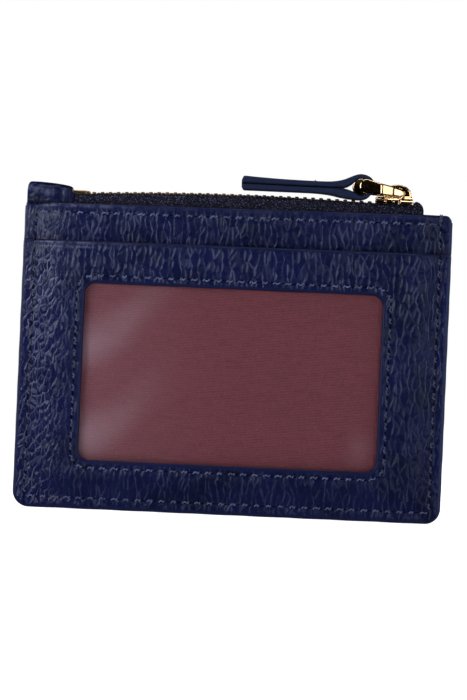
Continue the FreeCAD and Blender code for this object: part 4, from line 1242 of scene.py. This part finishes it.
def make_tab():
    """Strap folded round the barrel; its painted edges face the front and the back."""
    outer = [(0.3, 82.42), (1.2, 82.36), (5, 82.36), (12, 82.35), (18, 82.34), (21, 82.2), (23.2, 81.95),
             (25.2, 81.55), (27.2, 81.25), (28.9, 81.12), (30.5, 81.1), (32.1, 81.52), (33.3, 82.7),
             (33.8, 84.35), (33.6, 86.0), (32.5, 87.1), (30.7, 87.6), (29.2, 87.36), (27.7, 86.75),
             (26.2, 86.1), (24.2, 85.6), (21, 85.36), (12, 85.44), (5, 85.7), (1.2, 85.92), (0.3, 85.9)]
    inner = [(0.3, 83.95), (1.2, 83.97), (5, 83.97), (12, 83.9), (18, 83.88), (21, 83.87), (23.2, 83.86),
             (25.2, 83.85), (26.9, 83.66), (28.6, 83.1), (30.5, 82.3), (31.55, 82.58), (32.28, 83.3),
             (32.55, 84.35), (32.28, 85.4), (31.6, 86.1), (30.5, 86.4), (29.3, 85.95), (28.3, 85.0),
             (26.7, 84.1), (24.2, 83.92), (21, 83.93), (12, 83.96), (5, 84.02), (1.2, 84.03), (0.3, 84.05)]
    count = 230
    outer, inner = smooth_curve(outer, count), smooth_curve(inner, count)
    middle, half = (outer + inner) / 2, (outer - inner) / 2
    along = np.concatenate([[0], np.cumsum(np.linalg.norm(np.diff(middle, axis=0), axis=1))])
    end = np.minimum(along, along[-1] - along)
    half_width, edge_crown = 3.5, 0.7
    wide = half_width - 0.25 * (1 - edge_profile(end, 0.8))
    crown = np.linspace(-math.pi / 2, math.pi / 2, 15)
    flat = np.linspace(-1, 1, 9)[1:-1]
    section = [(1, math.cos(a), math.sin(a)) for a in crown]
    section += [(-f, None, 1) for f in flat] + [(-1, math.cos(a), math.sin(a)) for a in crown[::-1]]
    section += [(f, None, -1) for f in flat]
    rings, paint, gap = [], [], []
    for k in range(count):
        squeeze = edge_profile(end[k], 0.75)
        ring = []
        for side, lift, t in section:
            flank = wide[k] - edge_crown
            y = side * flank if lift is None else side * (flank + edge_crown * lift ** 0.9)
            depth = t * (0.985 if abs(t) == 1 else 1)
            p = middle[k] + half[k] * (depth if depth < 0 else depth * (2 * squeeze - 1))
            ring.append((p[0], y, p[1]))
            edge = lift is not None
            paint.append(float(edge or end[k] < 0.4))
            # Painted shade on the rounded edges: darker towards the seam between the two layers and towards
            # their outer faces.
            gap.append((0.75 * abs(t) ** 3 if t > 0 else abs(t) ** 2) if edge else 0.0)
        rings.append(ring)
    build("pull_tab_leather", *loft(rings), TAB_LEATHER, "pull_tab", ["pull_tab"], "trim_leather",
          paint=paint, gap=gap)
    low, high = box_mm("pull_tab_thread")
    threads = []
    for y in np.linspace(low[1] + 0.55, high[1] - 0.55, 4):
        steps = np.linspace(-1, 1, 9)
        rise = (1 - steps ** 2) ** 0.7 * 0.26 - 0.2
        line = np.column_stack([(low[0] + high[0]) / 2 + 0.1 * steps, y + 0.5 * steps, low[2] + rise])
        threads.append(tube(line, 0.17 * (0.72 + 0.28 * np.sqrt(1 - 0.9 * steps ** 2)), 8, (0, 0, 1), 0.85,
                            0.12, 1.6))
    build_parts("pull_tab_stitches", threads, THREAD, "pull_tab", ["pull_tab_thread"], "thread", shade=0.0)


make_tape(-1, "front")
make_tape(1, "rear")
make_teeth(-1, "front")
make_teeth(1, "rear")
make_stops()
make_end_cap()
make_slider()
make_crown()
make_link()
make_tab()


# ---------------------------------------------------------------- camera, light and floor

def area_light(name, place, target, size, power):
    """Rectangular lamp, seen only by what it lights; metres and watts."""
    light = bpy.data.lights.new(name, "AREA")
    light.shape = "RECTANGLE"
    light.size, light.size_y = size
    light.energy = power
    obj = bpy.data.objects.new(name, light)
    obj.location = place
    obj.rotation_euler = (Vector(target) - Vector(place)).to_track_quat("-Z", "Y").to_euler()
    obj.visible_camera = False
    bpy.context.scene.collection.objects.link(obj)


def make_camera():
    distance, frame_height, roll = 0.9, 0.1776, 2.55
    data = bpy.data.cameras.new("camera")
    data.sensor_width = 36.0
    data.lens = data.sensor_width * distance / frame_height
    camera = bpy.data.objects.new("camera", data)
    turn = Matrix.Rotation(math.radians(90), 3, "X") @ Matrix.Rotation(math.radians(roll), 3, "Z")
    camera.matrix_world = Matrix.Translation((0.0001, -distance, 0.0417)) @ turn.to_4x4()
    bpy.context.scene.collection.objects.link(camera)
    bpy.context.scene.camera = camera


def make_stage():
    """Round white floor that glows a little less close to the object, where the lights reach it."""
    reach, low = 3000.0, -0.3
    turn = np.linspace(0, 2 * math.pi, 96, endpoint=False)
    points = [(0.0, 0.0, low)]
    for radius in (150.0, 400.0, 1000.0, reach):
        points += [(radius * math.cos(a), radius * math.sin(a), low) for a in turn]
    faces = [(0, 1 + k, 1 + (k + 1) % 96) for k in range(96)]
    for ring in range(3):
        start = 1 + ring * 96
        faces += [(start + k, start + 96 + k, start + 96 + (k + 1) % 96, start + (k + 1) % 96)
                  for k in range(96)]
    n = Nodes("studio_white")
    shade = n.noise(n.place((0.01, 0.01, 0.01)), 1.0, 2.0)
    away = n.vector("LENGTH", n.place((0.001, 0.001, 0.001)))
    n.set(Base_Color=n.mix(shade, rgb("f4f4f4"), rgb("fafafa")), Roughness=n.ramp(shade, 0.2, 0.8, 0.8, 0.9),
          Emission_Strength=n.ramp(away, 0.1, 0.9, 0.82, 1.0), Emission_Color=(1, 1, 1, 1))
    mesh = bpy.data.meshes.new("floor")
    mesh.from_pydata([tuple(c * MM for c in p) for p in points], [], faces)
    mesh.materials.append(n.material)
    floor = bpy.data.objects.new("floor", mesh)
    floor.visible_glossy = False
    bpy.context.scene.collection.objects.link(floor)


def make_light():
    """White surround seen by the camera only; softboxes and one close key light do the lighting."""
    scene = bpy.context.scene
    world = scene.world = bpy.data.worlds.new("studio")
    world.use_nodes = True
    background = world.node_tree.nodes["Background"].inputs
    background["Color"].default_value, background["Strength"].default_value = (1, 1, 1, 1), 1.0
    world.cycles_visibility.glossy = world.cycles_visibility.diffuse = False
    scene.view_settings.view_transform = "Standard"
    area_light("key_left", (-0.19, -0.17, 0.13), (-0.03, 0, 0.045), (0.1, 0.18), 0.36)
    area_light("softbox_right", (0.54, -0.27, 0.1), (0, 0, 0.05), (0.26, 0.4), 0.6)
    area_light("softbox_left", (-0.54, -0.27, 0.12), (0, 0, 0.05), (0.25, 0.4), 0.45)
    area_light("card_right", (0.284, -0.548, 0.1), (0.04, 0, 0.08), (0.16, 0.3), 0.4)
    area_light("softbox_top", (0.0, -0.12, 0.55), (0, 0, 0.06), (0.5, 0.15), 0.9)
    area_light("key_back", (0.28, 0.4, 0.2), (0, 0, 0.045), (0.12, 0.25), 0.85)
    area_light("softbox_back", (-0.5, 0.35, 0.15), (0, 0, 0.045), (0.3, 0.45), 0.95)
    area_light("room_front", (0.0, -2.2, 1.3), (0, 0, 0.05), (2.4, 1.6), 0.3)
    area_light("room_back", (0.0, 2.2, 0.6), (0, 0, 0.05), (2.4, 1.6), 0.45)


make_camera()
make_stage()
make_light()
